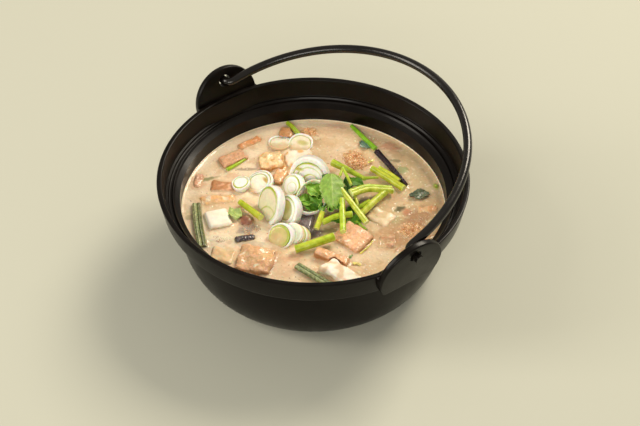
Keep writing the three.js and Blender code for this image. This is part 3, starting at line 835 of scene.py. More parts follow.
# Each by its radius, its shells, the colour of its core's face, the lines and blotches on it, where
# its lines are strongest, how far up the broth covers it, and its place, turn and tip in the pot.
leek_slices = {
    "leek_domino_front": (
        13, [(1, 0, 0, -2.7, 2.0), (0.86, -1.1, 0, -2.2, 2.2)], "efe8c8",
        [(-1.1, 0, 10.6, 0.6, LEEK_LINE), (6.5, -10.5, 11.5, 0.6, colour("b9c43c"))], [],
        150, -10.5, [-27.3, -7, 50], 204, 66,
    ),
    "leek_domino_back": (
        10.4, [(1, 0, 0, -2.7, 2.0), (0.82, -0.9, 0, -2.2, 2.1), (0.62, -1.4, -0.4, -2, 1.6)], "e2dca6",
        [(-0.9, 0, 7.9, 0.5, LEEK_LINE)], [(-2, 2, 4, 6, colour("cdc578"))],
        170, -8.0, [-15.6, -11.8, 49.6], 210, 62,
    ),
    "leek_tall": (
        13, [(1, 0, 0, -4, 2.2), (0.82, 0.4, -1.0, -3, 3.2)], "fffdf4",
        [(2.0, -3.0, 5.2, 0.6, colour("c6d45c")), (0.8, -1.6, 8.4, 0.5, colour("cfdc84"))],
        [(-6.6, 4.6, 3.6, 1.6, LEEK_OLIVE)],
        150, -11.0, [-2.6, 20.6, 51.3], 254, 72,
    ),
    "leek_leaning": (
        8.2, [(1, 0, 0, -2.2, 1.8), (0.84, -0.7, 0, -2, 2.1)], "fffaf0",
        [(-0.7, 0, 6.4, 0.5, LEEK_LINE), (0.2, -0.8, 3.6, 0.4, colour("d5dc9a"))], [],
        10, -6.5, [-12.6, 11.2, 50], 222, 56,
    ),
    "leek_chunk": (
        8.4, [(1, 0, 0, -3.8, 3.2), (0.86, -0.6, -0.5, -3, 3.8)], "dccf86",
        [(-0.6, -0.5, 6.5, 0.8, colour("b9c850"))], [(-1, -2, 4.5, 4, colour("e2c890"))],
        50, -5.5, [-19.5, -31.2, 45.8], 236, 48,
    ),
    "leek_flat_small": (
        6.0, [(1, 0, 0, -2, 1.5), (0.84, 0, 0.2, -1.6, 1.4)], "fffdf4",
        [(0, 0.2, 4.6, 0.5, LEEK_LINE)], [], -90, -9.0, [-47.3, 18.2, 46.0], 200, 12,
    ),
    "leek_flat_large": (
        9.0, [(1, 0, 0, -2.2, 1.5), (0.88, -0.4, -0.5, -2, 1.2), (0.72, -0.8, -1.0, -2, 0.9)], "f6f0de",
        [(0, 0, 7.0, 0.4, colour("d4dc9c"))], [(2.4, 3.6, 4.2, 1.6, colour("c9a65e"))],
        140, -6.0, [-34.8, 20, 45.7], 215, 16,
    ),
    "leek_sunk_left": (
        8.0, [(1, 0, 0, -2, 1.3), (0.82, 0, -0.6, -1.6, 1.1)], "f8ecd4",
        [], [], 90, -1.5, [-22.6, 61.6, 43.6], 80, 6,
    ),
    "leek_sunk_right": (
        8.4, [(1, 0, 0, -2, 1.3), (0.84, 0, -0.6, -1.6, 1.1)], "f8ecd0",
        [], [(1, 0.5, 4.4, 2.6, colour("d0c888"))], 90, -3.0, [-8.6, 60.6, 44.0], 250, 10,
    ),
}
# Two of the flat ones are first turned on their own axis, so that "up" on the face is the far side.
own_turns = {"leek_sunk_left": -170, "leek_flat_small": 70}
for seed, (node, values) in enumerate(leek_slices.items()):
    radius, shells, face, lines, blotches, bright, sunk_to, at, turn, tip = values
    piece = leek_slice(node + "_layers", radius, shells, colour(face), lines, blotches, bright, sunk_to, seed)
    piece.data.transform(laid(at, turn, tip) @ Matrix.Rotation(math.radians(own_turns.get(node, 0)), 4, "Z"))
    placed_on(piece, raw_leek, "leek", node)

# One slice has come apart: its thin rounds lie over each other like cards, one edge beside the next.
FAN_SHEETS = 6
FAN_ASIDE = (-2.6, 1.6)
FAN_TOP = 2.1
FAN_PITCH = 0.85
FAN_SECTION = ((5.2, -0.4), (6.8, -0.35), (6.9, 0), (6.8, 0.35), (6.0, 0.4), (5.2, 0.2))
fan_face = colour("fbf5e0")
fan_edges = (LEEK_WHITE, colour("f0cfa8"), colour("c3cf62"))
fan_points, fan_tints, fan_faces = [], [], []
for sheet in range(FAN_SHEETS):
    start = len(fan_points)
    aside = FAN_ASIDE[0] + (FAN_ASIDE[1] - FAN_ASIDE[0]) * sheet / (FAN_SHEETS - 1)
    level = FAN_TOP - FAN_PITCH * sheet
    for angle in round_angles(SLICE_SIDES):
        swell = 1 + 0.06 * ripple((math.cos(angle), math.sin(angle), 0), 0.7, sheet + 70)
        for out, z in FAN_SECTION:
            x = -out * swell * math.sin(angle)
            y = aside + out * swell * math.cos(angle)
            fan_points.append((x, y, z + level + 0.3 * ripple((x, y, 0), 4, sheet)))
            fan_tints.append(blend(fan_face, fan_edges[sheet % 3], step(6.2, 6.8, out)))
    fan_faces += tube_faces(start, SLICE_SIDES, len(FAN_SECTION), closed_along=False)
    fan_faces += cap_faces(start, SLICE_SIDES, len(FAN_SECTION), len(fan_points), len(fan_points) + 1)
    fan_points += [(0, aside, level - 0.3), (0, aside, level + 0.1)]
    fan_tints += [fan_face, fan_face]
fan =facing_out(solid("leek_fanned_rounds", fan_points, fan_faces, fan_tints))
fan.data.transform(laid([-10.2, -30.6, 45.9], 236, 42))
placed_on(fan, raw_leek, "leek", "leek_fanned")

# A loose outer ring of leek lies round the leaves, thin, wet and white.
BAND_STEPS = 130
BAND_SECTION = 12
BAND_RADIUS = 12.7
BAND_SQUEEZE = 0.74
band_points, band_tints = [], []
for angle in round_angles(BAND_STEPS):
    around = Vector((math.cos(angle), math.sin(angle), 0))
    for turn in round_angles(BAND_SECTION):
        out = BAND_RADIUS + 0.75 * math.cos(turn) + 0.5 * ripple(around, 0.5, 61)
        z = 2.0 * math.sin(turn) + 0.7 * ripple(around, 0.6, 62)
        band_points.append((out * around.x, BAND_SQUEEZE * out * around.y, z))
        band_tints.append(blend(LEEK_WHITE, colour("e3e8c4"), 0.5 - 0.5 * math.cos(turn)))
band = solid("leek_band_ring", band_points, tube_faces(0, BAND_STEPS, BAND_SECTION), band_tints)
facing_out(band).data.transform(laid([-0.8, -1.5, 52], 62, -14, 15))
placed_on(band, raw_leek, "leek", "leek_band")

# ---------------------------------------------------------------- Stems
# Stems of a fresh green herb, cut in finger-long sticks and laid on last. They are juicy, with fine
# ribs along them, and paler at their cut ends.
# The raw skin is smooth and shines softly, with yellow-green streaks of its own, and a painted highlight
# that makes the ridges of its ribs lighter than the grooves between them.
fresh_stem, tree, shader = new_finish("fresh_herb_stem", {**WET, "IOR": 1.4, "Coat Weight": 0.3})
rib = add(tree, "ShaderNodeAttribute", attribute_name="rib").outputs["Fac"]
# The rib height lightens the ridges and darkens the grooves: painted highlight and painted shade.
streak_with_ridge_highlight = {0: rib, 1: 0.04, 2: pattern_of(tree, 4)}
streak_with_ridge_highlight = add(tree, "ShaderNodeMath", streak_with_ridge_highlight, operation="MULTIPLY_ADD")
green = ramp(tree, streak_with_ridge_highlight, (0.3, "a3b428"), (0.5, "c3ce42"), (0.72, "dde36f"))
way = add(tree, "ShaderNodeAttribute", attribute_name="along").outputs["Fac"]
middle = add(tree, "ShaderNodeMath", {0: way, 1: 0.5}, operation="SUBTRACT")
off_middle = add(tree, "ShaderNodeMath", {0: middle}, operation="ABSOLUTE")
at_end = ranged(tree, off_middle, 0.478, 0.499, 0.0, 0.75)
pale_end = add(tree, "ShaderNodeMix", {0: at_end, 6: green, 7: colour("eef0b4")}, data_type="RGBA").outputs[2]
tint = add(tree, "ShaderNodeAttribute", attribute_name="tint").outputs["Color"]
toned = {0: 1.0, 6: pale_end, 7: tint}
toned = add(tree, "ShaderNodeMix", toned, data_type="RGBA", blend_type="MULTIPLY").outputs[2]
tree.links.new(filmed(tree, toned, 0.5), shader.inputs[0])
pimpled(tree, shader, [(1.3, 0.07, NOISE), (0.8, 0.04, NOISE)])


def joined(name, parts):
    """One piece from the meshes of several, which are then removed."""
    made = bmesh.new()
    for part in parts:
        made.from_mesh(part.data)
        bpy.data.objects.remove(part)
    mesh = bpy.data.meshes.new(name)
    made.to_mesh(mesh)
    made.free()
    return linked(name, mesh)


STRAND_STEP = 0.7
STRAND_SPANS = 40


def swept_food(name, parts, finish, ribs, depth):
    """Sweeps each (points, radius, taper, tone) part and joins them as one piece."""
    strands = []
    for points, radius, taper, tone in parts:
        strand = path_piece(name + "_strand", smooth_path(points, STRAND_SPANS))
        strand.data.transform(laid((0, 0, 0)))
        sizes = {"Radius": radius * MM, "Step": STRAND_STEP * MM, "Taper": float(taper)}
        with_nodes(strand, sweep, **sizes, Ribs=float(ribs), Depth=float(depth), Finish=finish)
        keep_tints(strand.data, [colour(tone)] * len(strand.data.vertices))
        strands.append(strand)
    piece = joined(name, strands)
    piece.data.shade_smooth()
    piece.data.set_sharp_from_angle(angle=SHARP_EDGE)
    return piece


def beside(points, shift, lift=0):
    """The same path moved aside, level, by a distance across its run, and lifted."""
    run = Vector(points[-1]) - Vector(points[0])
    aside = Vector((-run.y, run.x, 0)).normalized() * shift + Vector((0, 0, lift))
    return [list(Vector(p) + aside) for p in points]


# Each is one strand or more: its points, its radius, how much it thins, and its tone over the green.
PLAIN = "ffffff"
YOUNG = "f0ffd0"
MOSSY = "bcd48c"
split_route = [[24, 0.6, 54], [34.1, 8, 51.5], [43.3, 10.4, 49], [51.2, 12.2, 46.4]]
pair_route = [[39.6, 35.4, 45.4], [50, 25.2, 45.6], [60.1, 15.8, 45.2]]
stems = {
    "stem_long": [([[17.7, 2.3, 56], [26.1, -9.1, 51.5], [34.2, -20.7, 47.6]], 1.8, 0.12, PLAIN)],
    "stem_upright": [([[18.3, -5.3, 54], [18.7, -19, 51.6], [18.9, -30.9, 49.4]], 1.85, 0.1, YOUNG)],
    "stem_fork": [
        ([[17, 16, 54.2], [19.2, 23.4, 55.4]], 0.9, 0.1, PLAIN),
        ([[19.2, 23.4, 55.4], [21.9, 16.4, 54.6], [24.4, 8.6, 54]], 0.95, 0.1, YOUNG),
    ],
    "stem_thick": [
        ([[12.7, 35.5, 49.5], [24, 25.9, 50.5], [34, 18.9, 49.5]], 2.5, -0.45, "e4f0b8"),
        ([[31.7, 18.7, 50.5], [37, 19.2, 50.5], [42.4, 21, 49.3]], 1.2, -0.35, "cfe29a"),
    ],
    "stem_cross": [
        ([[30.9, -11.3, 46.8], [38.5, -1.5, 47.6], [46.9, 9.6, 47]], 2.15, 0.1, PLAIN),
        ([[26.1, 4.4, 51], [27.4, -1, 50], [28.5, -5.6, 48.4]], 1.2, 0.0, "fffff0"),
        ([[28.2, -7, 48], [32, -4.5, 48.2], [36.4, -1.2, 48.4]], 1.5, 0.1, "e0ec9c"),
        ([[27.6, -18.5, 46.5], [30.4, -22, 46.2], [33.6, -25.2, 45.6]], 1.2, 0.0, MOSSY),
    ],
    "stem_low": [([[5.5, -20.7, 48], [15.2, -16.3, 49.2], [24.8, -13.9, 49]], 2.0, 0.05, YOUNG)],
    "stem_short": [([[2, -26.3, 47.6], [3.7, -21.9, 49.6], [5.9, -15.3, 52]], 1.85, -0.1, "fffbe0")],
    "stem_front": [([[-11.4, -43.4, 46], [0.5, -40.4, 48.4], [13.1, -35.1, 49.2]], 2.6, 0.06, "e6f0b0")],
    "stem_side": [([[-47.4, 0.8, 46], [-40, -8.5, 47.5], [-33.4, -16.6, 48.5]], 1.9, 0.15, "eef0b4")],
    "stem_split": [
        (beside(split_route, 1.3), 1.7, 0.1, YOUNG),
        (beside(split_route, -1.4), 1.8, 0.1, PLAIN),
        (beside(split_route[:3], 0.6, 1.0), 0.75, -0.4, "fffff8"),
    ],
    "leek_green_sliver": [
        ([[-57.2, 34.2, 44.3], [-51.3, 38.8, 44.6], [-44.7, 45.6, 44.1]], 1.3, -0.4, "d8f0a0"),
    ],
    "stem_far_wall": [([[-17.8, 80.6, 45.6], [-13.9, 75.2, 46], [-9.3, 68.4, 44.6]], 1.5, 0.1, "c8d890")],
    "stem_bright": [([[25.7, 78.6, 44.6], [32.6, 67.4, 45], [41.3, 54.9, 44.6]], 1.3, 0.35, "a4dc68")],
    "stem_far_pair": [
        (beside(pair_route, -1.5), 2.1, 0.08, "f6f6c8"),
        ([[43.4, 34.4, 45.4], [50, 28.4, 45.6], [56.2, 22, 45.2]], 1.7, 0.0, "f8f8b8"),
    ],
}
STEM_RIBS = 9
STEM_RIB_DEPTH = 0.02
for node, parts in stems.items():
    piece = swept_food(node + "_cut", parts, fresh_stem, STEM_RIBS, STEM_RIB_DEPTH)
    placed_on(piece, fresh_stem, "stem", node)

# ---------------------------------------------------------------- Stalks
# Cooked stalks that float low in the soup: one nearly black and purple, two dark green and grooved.
# They are boiled soft and soaked, so they shine, and their dark skin is mottled in 2 mm patches.
cooked_stalk, tree, shader = new_finish("cooked_wet_stalk", {**WET, "Roughness": 0.24, "Coat Weight": 0.8})
tree.links.new(filmed(tree, tinted(tree, 0.65, 1.4, 1.8), 0.45), shader.inputs[0])
pimpled(tree, shader, [(1.6, 0.25, NOISE), (0.9, 0.1, NOISE)])
left_route = [[-75.6, 0.1, 44.4], [-73.4, -19.7, 44.6], [-70, -39, 43.6]]
front_route = [[-10.1, -56.5, 44.8], [-0.1, -64.7, 44.6], [10.5, -73.6, 44.2]]
purple_route = [[42.1, 52.4, 44.4], [51.9, 34.7, 44.8], [60.6, 18.6, 44.4]]
# Each by its slot, the number and depth of its grooves, and its strands.
stalks = {
    "stalk_purple": ("dark_stalk", 5, 0.12, [(purple_route, 1.95, -0.25, "22121d")]),
    "stalk_left": (
        "dark_greens", 9, 0.09,
        [(beside(left_route, 1.2), 1.6, 0.05, "6e7546"), (beside(left_route, -1.2), 1.7, 0.05, "a0a876")],
    ),
    "stalk_front": (
        "dark_greens", 9, 0.08,
        [
            (beside(front_route, 1.2), 1.3, 0.0, "87925a"),
            # The thin dark middle strand darkens the groove between the two ridges: painted shade.
            (front_route, 1.0, 0.0, "3d4522"),
            (beside(front_route, -1.2), 1.4, 0.0, "959f6c"),
        ],
    ),
}
for node, (slot, ribs, depth, parts) in stalks.items():
    placed_on(swept_food(node + "_cooked", parts, cooked_stalk, ribs, depth), cooked_stalk, slot, node)

# ---------------------------------------------------------------- Leaves
# The herb's own leaves, laid on raw: thin, matte, wavy, toothed at the edge, with paler veins. Darker
# ones are tucked and rolled under them, and cooked scraps float in the soup.
# A raw leaf looks dull and puckered between its veins. A cooked one is darker, under a film of broth.
raw_leaf, tree, shader = new_finish(
    "raw_herb_leaf", {"Roughness": 0.46, "IOR": 1.4, "Subsurface Weight": 0.15, "Subsurface Scale": 0.6 * MM}
)
tree.links.new(tinted(tree, 0.8, 1.15, 2.5), shader.inputs[0])
pimpled(tree, shader, [(1.5, 0.25, NOISE), (0.7, 0.06, NOISE)])
cooked_leaf, tree, shader = new_finish("cooked_wet_leaf", {**WET, "Coat Weight": 0.25})
tree.links.new(filmed(tree, tinted(tree, 0.7, 1.25, 2.2), 0.4), shader.inputs[0])
pimpled(tree, shader, [(1.7, 0.3, NOISE)])


def grid_faces(rows, columns):
    """Square faces over a grid of points that is kept row by row."""
    faces = []
    for j in range(rows):
        for i in range(columns):
            near = j * (columns + 1) + i
            faces.append((near, near + 1, near + columns + 2, near + columns + 1))
    return faces


TOOTH_DEPTH = 0.16
SIDE_VEINS = 6
VEIN_SLANT = 0.45
MIDRIB_WIDTH = 0.35
VEIN_RISE = 0.2


def leaf_sheet(
    size, tone, vein, seed, cup=0, droop=0, wave=0.5, fold=0, curl=0, taper=0, teeth=6, start=0.08
):
    """Points, faces and tints of one side of a leaf along Y, its tip at +Y, sizes in millimetres.

    Its sides rise by the cup and fall by the fold, its ends droop, and its edges wave. Curl is half
    the angle, in radians, that it is rolled through.
    """
    length, width = size
    rows, columns = 48, 28
    points, tints = [], []
    for i in range(rows + 1):
        v = i / rows
        tooth = 1 - TOOTH_DEPTH * (v * teeth % 1) * step(0.1, 0.25, v)
        outline = math.sin(math.pi * (start + (0.98 - start) * v)) ** 0.7
        half = width / 2 * outline * (1 - taper * v) * tooth
        for j in range(columns + 1):
            u = 2 * j / columns - 1
            x = u * half
            y = (v - 0.5) * length
            z = cup * u * u - droop * (v - 0.5) ** 2 - fold * abs(x)
            z += wave * math.sin(9 * v + 2.4 * u + seed) * abs(u) + 0.5 * ripple((x, y, 0), 3.5, seed)
            branch = abs(((v - VEIN_SLANT * abs(u)) * SIDE_VEINS) % 1 - 0.5)
            side_vein = 0.7 * math.exp(-((branch / 0.08) ** 2)) * (1 - abs(u))
            rib = max(math.exp(-((x / MIDRIB_WIDTH) ** 2)), side_vein)
            if curl:
                bend = half / curl
                x = bend * math.sin(curl * u)
                z += bend * (1 - math.cos(curl * u))
            points.append((x, y, z + VEIN_RISE * rib))
            tints.append(blend(tone, vein, 0.6 * rib + 0.5 * step(0.86, 1.0, abs(u))))
    return points, grid_faces(rows, columns), tints


def leaf_piece(name, sheets, thickness):
    """One piece from leaf sheets, each with its place, given a thickness."""
    placed = []
    for (points, faces, tints), place in sheets:
        sheet = solid(name + "_sheet", points, faces, tints)
        sheet.data.transform(place)
        placed.append(sheet)
    piece = joined(name, placed)
    skin = piece.modifiers.new("thickness", "SOLIDIFY")
    skin.thickness = thickness * MM
    skin.offset = 0
    made_plain(piece).data.shade_smooth()
    return piece


LEAF_PALE = colour("8cb04c")
LEAF_VEIN = colour("bdd080")
LEAF_MID = colour("7fb034")
LEAF_DEEP = colour("578c22")
LEAF_NIGHT = colour("345c16")
LEAF_LIME = colour("c2dc72")
LEAF_THICKNESS = 0.5
TUCKED_THICKNESS = 0.4
large = leaf_sheet(
    (26, 21), LEAF_PALE, LEAF_VEIN, 1, cup=-1.2, droop=6, wave=0.6, fold=0.22, taper=0.45, teeth=7
)
large_leaf = leaf_piece("leaf_large_fresh", [(large, laid([12.2, -1.5, 58.6], 183, 0, -18))], LEAF_THICKNESS)
placed_on(large_leaf, raw_leaf, "leaf", "leaf_large")

wide = leaf_sheet((15, 12), LEAF_MID, LEAF_LIME, 2, cup=1.6, droop=5, wave=1.2, teeth=5)
narrow = leaf_sheet((13, 8), LEAF_DEEP, LEAF_MID, 3, cup=1.4, droop=4, wave=1.0, teeth=5)
roll = leaf_sheet((12, 9), LEAF_MID, LEAF_LIME, 4, curl=2.6, wave=0.3, start=0.4)
half_roll = leaf_sheet((12, 8), LEAF_DEEP, LEAF_LIME, 5, curl=1.6, droop=2, wave=0.5, start=0.3)
night = leaf_sheet((8, 6), LEAF_NIGHT, LEAF_DEEP, 6, cup=1.2, wave=0.7)
tucked = [
    (wide, laid([-5.2, -3.4, 50.4], 104, 8, 16)),
    (narrow, laid([-2.2, -7.4, 49.6], 78, -6, 14)),
    (wide, laid([0.8, 4.4, 52.8], 58, 0, 20)),
    (narrow, laid([1.5, -2.5, 51.6], 20, 0, -10)),
    (roll, laid([4.6, -0.4, 50.0], -8, 0, -35)),
    (roll, laid([10.4, -10.6, 49.6], 12, 0, -30)),
    (half_roll, laid([6.6, -8.6, 50.2], -14, 0, -20)),
    (half_roll, laid([12.8, -8.0, 51.0], 24, 6, -20)),
    (night, laid([9.0, 12.6, 55.6], 60, 0, 10)),
    (night, laid([22.4, 12.4, 51.2], 30, 0, 10)),
    (narrow, laid([26.4, 16.0, 49.6], 70, 0, 8)),
    (night, laid([21.6, 4.2, 51.6], 10, 0, 10)),
    (night, laid([24.6, -10.0, 48.6], -30, 0, 10)),
    (narrow, laid([27.0, -17.6, 46.4], -50, 0, 6)),
    (night, laid([26.0, -4.0, 48.4], 40, 0, 6)),
    (night, laid([13.5, -18.6, 48.0], 70, 0, 6)),
]
placed_on(leaf_piece("leaf_dark_tucked", tucked, TUCKED_THICKNESS), raw_leaf, "dark_greens", "leaf_dark")

# Three small ones lie apart. Each by its node, its slot, its finish, its sheet and its place.
frill = leaf_sheet((11, 9), colour("b0c274"), LEAF_LIME, 7, cup=0.8, wave=1.4, teeth=4)
scrap_right = leaf_sheet((13, 9), colour("59644c"), colour("84907a"), 8, cup=1.0, wave=0.9)
scrap_far = leaf_sheet((8.5, 6.5), colour("66836f"), colour("8fa392"), 9, cup=0.8, wave=0.6)
loose_leaves = {
    "leaf_frill_wet": ("leaf_frill", "leaf", raw_leaf, frill, laid([-50.4, -9.6, 45.6], 30)),
    "green_scrap_right_floating": (
        "green_scrap_right", "dark_greens", cooked_leaf, scrap_right, laid([69, 9.6, 44.2], 100),
    ),
    "green_scrap_far_floating": (
        "green_scrap_far", "dark_greens", cooked_leaf, scrap_far, laid([34, 59.4, 43.9], 40),
    ),
}
for name, (node, slot, finish, sheet, place) in loose_leaves.items():
    placed_on(leaf_piece(name, [(sheet, place)], LEAF_THICKNESS), finish, slot, node)

# ---------------------------------------------------------------- Soup
# Miso broth thick with mashed natto: opaque, creamy beige, shining. It creeps up the iron and round
# every piece, and shows what is sunk just under it as soft darker and paler patches, with painted shade
# under the stems and leaves.
def disc_grid(radius, count):
    """A square grid mapped onto a disc, its faces, and its outline in order."""
    spots = []
    for j in range(count + 1):
        for i in range(count + 1):
            a = 2 * i / count - 1
            b = 2 * j / count - 1
            out, angle = 0.0, 0.0
            if abs(a) > abs(b):
                out, angle = a, math.pi / 4 * b / a
            elif abs(b) > 1e-9:
                out, angle = b, math.pi / 2 - math.pi / 4 * a / b
            spots.append((radius * out * math.cos(angle), radius * out * math.sin(angle)))
    row = count + 1
    outline = list(range(count)) + [j * row + count for j in range(count)]
    outline += [count * row + i for i in range(count, 0, -1)] + [j * row for j in range(count, 0, -1)]
    return spots, grid_faces(count, count), outline


SOUP_GAP = 0.1
SOUP_GRID = 260
CLIMB_ON_IRON = 1.1
CLIMB_ON_FOOD = 0.6
wall_line = [(radius, height) for radius, height, _ in inside_curve]


def wall_radius(height):
    """The pot's inside radius at a height."""
    for (r1, z1), (r2, z2) in zip(wall_line, wall_line[1:]):
        if z1 <= height <= z2:
            return r1 + (r2 - r1) * (height - z1) / max(z2 - z1, 1e-6)
    return wall_line[-1][0]


def tree_of(nodes):
    """A search tree over some of the frame's solids."""
    points, faces = [], []
    for node in nodes:
        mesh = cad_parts[node].data
        base = len(points)
        points += [v.co / MM for v in mesh.vertices]
        faces += [[base + i for i in face.vertices] for face in mesh.polygons]
    return BVHTree.FromPolygons(points, faces)


# The broth climbs only on food that stands well out of it, and takes colour from what lies in it.
STANDING = 2.2
food_nodes = [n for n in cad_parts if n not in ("pot", "bail_handle", "soup")]
standing_food = tree_of([n for n in food_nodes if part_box(n)[1].z / MM > soup_level + STANDING])
fried_food = tree_of([n for n in food_nodes if n.startswith(("fried", "natto", "mushroom"))])
dark_food = tree_of([n for n in food_nodes if n.startswith(("stalk", "konnyaku", "green_scrap"))])

BROTH_BASE = colour("e3c59e")
BROTH_PALE = colour("f3dfc2")
BROTH_TAN = colour("cba67c")
BROTH_OLIVE = colour("cdb68a")
BROTH_BY_SKIN = colour("d09c70")
BROTH_BY_GREENS = colour("9c9670")
BROTH_BY_IRON = colour("b9a27c")
# What lies just under the surface, and painted shade: middle, half length, half width, turn, colour,
# strength, lift.
sunk = [
    # Fried pieces and greens, far right and right.
    (50.6, 58.2, 8, 5, -30, "c98f70", 0.7, 0.3),
    (55.0, 50.0, 8, 4, -50, "b0906c", 0.5, 0.2),
    (54.2, 44.0, 4, 1.6, -10, "8a8060", 0.8, 0.3),
    (58.5, 34.9, 4.5, 4, 30, "9aa670", 0.75, 0.4),
    (80.5, 18.5, 2.2, 3.0, 0, "a9b04c", 0.8, 0.3),
    (56.0, -3.1, 4.2, 3.0, 20, "5c5a3c", 0.9, 0.4),
    (60.3, -6.2, 3.2, 3.4, 0, "c98868", 0.8, 0.4),
    (54.3, -15.4, 4.5, 5.0, 20, "a8a078", 0.5, 0.1),
    (54.4, 7.5, 6.0, 5.0, 0, "cba482", 0.5, 0.4),
    (49.0, 0.5, 6.0, 4.0, 60, "d0ac86", 0.4, 0.3),
    # Fried pieces in front, then curd, greens and a stalk on the left.
    (-13.9, -48.4, 8, 4, 10, "d39b78", 0.6, 0.2),
    (-17.0, -60.0, 9, 6, 20, "dfae88", 0.4, 0.1),
    (-61.8, -30.1, 8, 4, 10, "f4e6c8", 0.7, 0.5),
    (-70.5, 25.5, 9, 1.8, 18, "7f8452", 0.8, 0.2),
    (-44.0, 35.6, 8, 1.6, 0, "94806a", 0.7, 0.2),
    (-53.6, 29.1, 5, 3.0, 10, "dcb495", 0.6, 0.5),
    (-72.8, -11.4, 1.6, 1.6, 0, "6f7a44", 0.8, 0.1),
    (-78.9, -11.4, 3.0, 4.0, 80, "96946a", 0.6, 0.2),
    (-76.2, 8.0, 5, 4, 0, "d6b78c", 0.4, 0.2),
    (-76.0, 20.0, 6, 7, 60, "d4a486", 0.5, 0.3),
    # Crushed natto along the far wall.
    (21.4, 80.5, 16, 4, 6, "dfb196", 0.5, 0.2),
    (10.0, 74.0, 18, 5, 0, "d8b08a", 0.4, 0.2),
    (38.0, 76.0, 12, 4, -25, "d0ac8c", 0.5, 0.2),
    (14.0, 62.0, 12, 6, -20, "dcb58a", 0.4, 0.2),
    # Konnyaku on the left, and painted shade under the stems, leaves and leek.
    (-42.7, -22.0, 8, 5, 15, "877b78", 0.75, 0.1),
    (-40.0, -36.0, 9, 4, 0, "b3a28c", 0.5, 0.1),
    # The next two are painted shade on the broth under the stems and leaves.
    (34.0, 3.6, 7, 6, 0, "8d7f6c", 0.8, 0.0),
    (24.0, -8.0, 16, 10, 0, "6f6748", 0.7, 0.0),
    (9.5, -25.5, 7, 5, 20, "9b9064", 0.8, 0.1),
    (13.5, -27.0, 4.5, 1.6, 35, "f2e4c4", 0.9, 0.6),
    (-0.5, -26.5, 8, 6, 20, "6d6162", 0.9, 0.0),
    # The sunk parts of the pale blocks, and the brown natto round its heaps.
    (-51.0, -46.0, 11, 8, -12, "f3cfa2", 0.8, 0.3),
    (-19.0, 41.0, 15, 9, 0, "f3cb94", 0.9, 0.9),
    (62.0, -30.0, 17, 15, 40, "bc9068", 0.8, 0.5),
    (66.8, -12.0, 13, 10, 60, "a87c58", 0.75, 0.4),
    (74.0, 4.0, 9, 9, 60, "b8966c", 0.4, 0.2),
    (47.0, -24.0, 7, 11, 0, "b98e66", 0.6, 0.2),
    (34.0, 22.0, 14, 10, 0, "d3ad8a", 0.35, 0.0),
]
soup_radius = wall_radius(soup_level) - SOUP_GAP


def over_sunk_and_shade(cx, cy, spot, z, tint):
    """The height and tint of the surface over what may be sunk under it, and where shade is painted on it."""
    for sx, sy, long, wide, turn, code, strength, lift in sunk:
        dx, dy = cx - sx, cy - sy
        if abs(dx) + abs(dy) > 2 * (long + wide):
            continue
        angle = math.radians(turn)
        a = (dx * math.cos(angle) + dy * math.sin(angle)) / long
        b = (dy * math.cos(angle) - dx * math.sin(angle)) / wide
        off = math.hypot(a, b) + 0.45 * ripple(spot, 2.6, sx)
        cover = 1 - step(0.5, 1.2, off)
        tint = blend(tint, colour(code), strength * cover)
        z += lift * cover
    return z, tint


def soup_surface(x, y):
    """The height and tint of the soup at a place in the frame, in millimetres.

    Slow waves and streaks come first, darker and greener to the right, then what stands or lies near.
    """
    spot = Vector((x, y, soup_level))
    out = math.hypot(x, y)
    near = standing_food.find_nearest(spot, 4)[3]
    near_fried = fried_food.find_nearest(spot, 6)[3]
    near_dark = dark_food.find_nearest(spot, 4)[3]
    z = soup_level + 0.2 * ripple(spot, 17, 1) + 0.1 * ripple(spot, 5.5, 2) + 0.07 * ripple(spot, 2.2, 3)
    z += CLIMB_ON_IRON * math.exp(-(soup_radius - out) / 1.2)
    cx = x * math.cos(CONTENTS_TURN) + y * math.sin(CONTENTS_TURN)
    cy = y * math.cos(CONTENTS_TURN) - x * math.sin(CONTENTS_TURN)
    tint = blend(BROTH_BASE, BROTH_PALE, 0.55 + 0.9 * ripple(spot, 16, 4) - 0.006 * cx)
    tint = blend(tint, BROTH_TAN, 0.002 * (cx + 10) + 0.6 * step(0.12, 0.6, ripple(spot, 7.5, 5)))
    tint = blend(tint, BROTH_OLIVE, 0.6 * step(15, 75, cx))
    tint = blend(tint, BROTH_PALE, 0.7 * step(0.3, 0.6, ripple(spot, 2.4, 6)))
    if near is not None:
        z += CLIMB_ON_FOOD * math.exp(-near / 0.7)
    if near_fried is not None:
        tint = blend(tint, BROTH_BY_SKIN, 0.4 * math.exp(-near_fried / 1.8))
    if near_dark is not None:
        tint = blend(tint, BROTH_BY_GREENS, 0.4 * math.exp(-near_dark / 1.3))
    z, tint = over_sunk_and_shade(cx, cy, spot, z, tint)
    return z, blend(tint, BROTH_BY_IRON, 0.5 * step(soup_radius - 2.0, soup_radius, out))


grid, faces, outline = disc_grid(soup_radius, SOUP_GRID)
points, tints = [], []
for x, y in grid:
    z, tint = soup_surface(x, y)
    points.append((x, y, z))
    tints.append(tint)
# Under its surface the soup follows the inside of the pot, in rings at these shares of its depth.
ring = outline
for share in (0.97, 0.8, 0.6, 0.42, 0.28, 0.16, 0.07, 0.0):
    height = FLOOR + 0.2 + (soup_level - FLOOR) * share
    scale = (wall_radius(height) - SOUP_GAP) / soup_radius
    lower = [len(points) + i for i in range(len(outline))]
    points += [(grid[i][0] * scale, grid[i][1] * scale, height) for i in outline]
    tints += [BROTH_BASE] * len(outline)
    for i, (a, b) in enumerate(zip(ring, lower)):
        after = (i + 1) % len(outline)
        faces.append((a, b, lower[after], ring[after]))
    ring = lower
faces.append(tuple(ring))
soup = facing_out(solid("natto_soup", points, faces, tints))
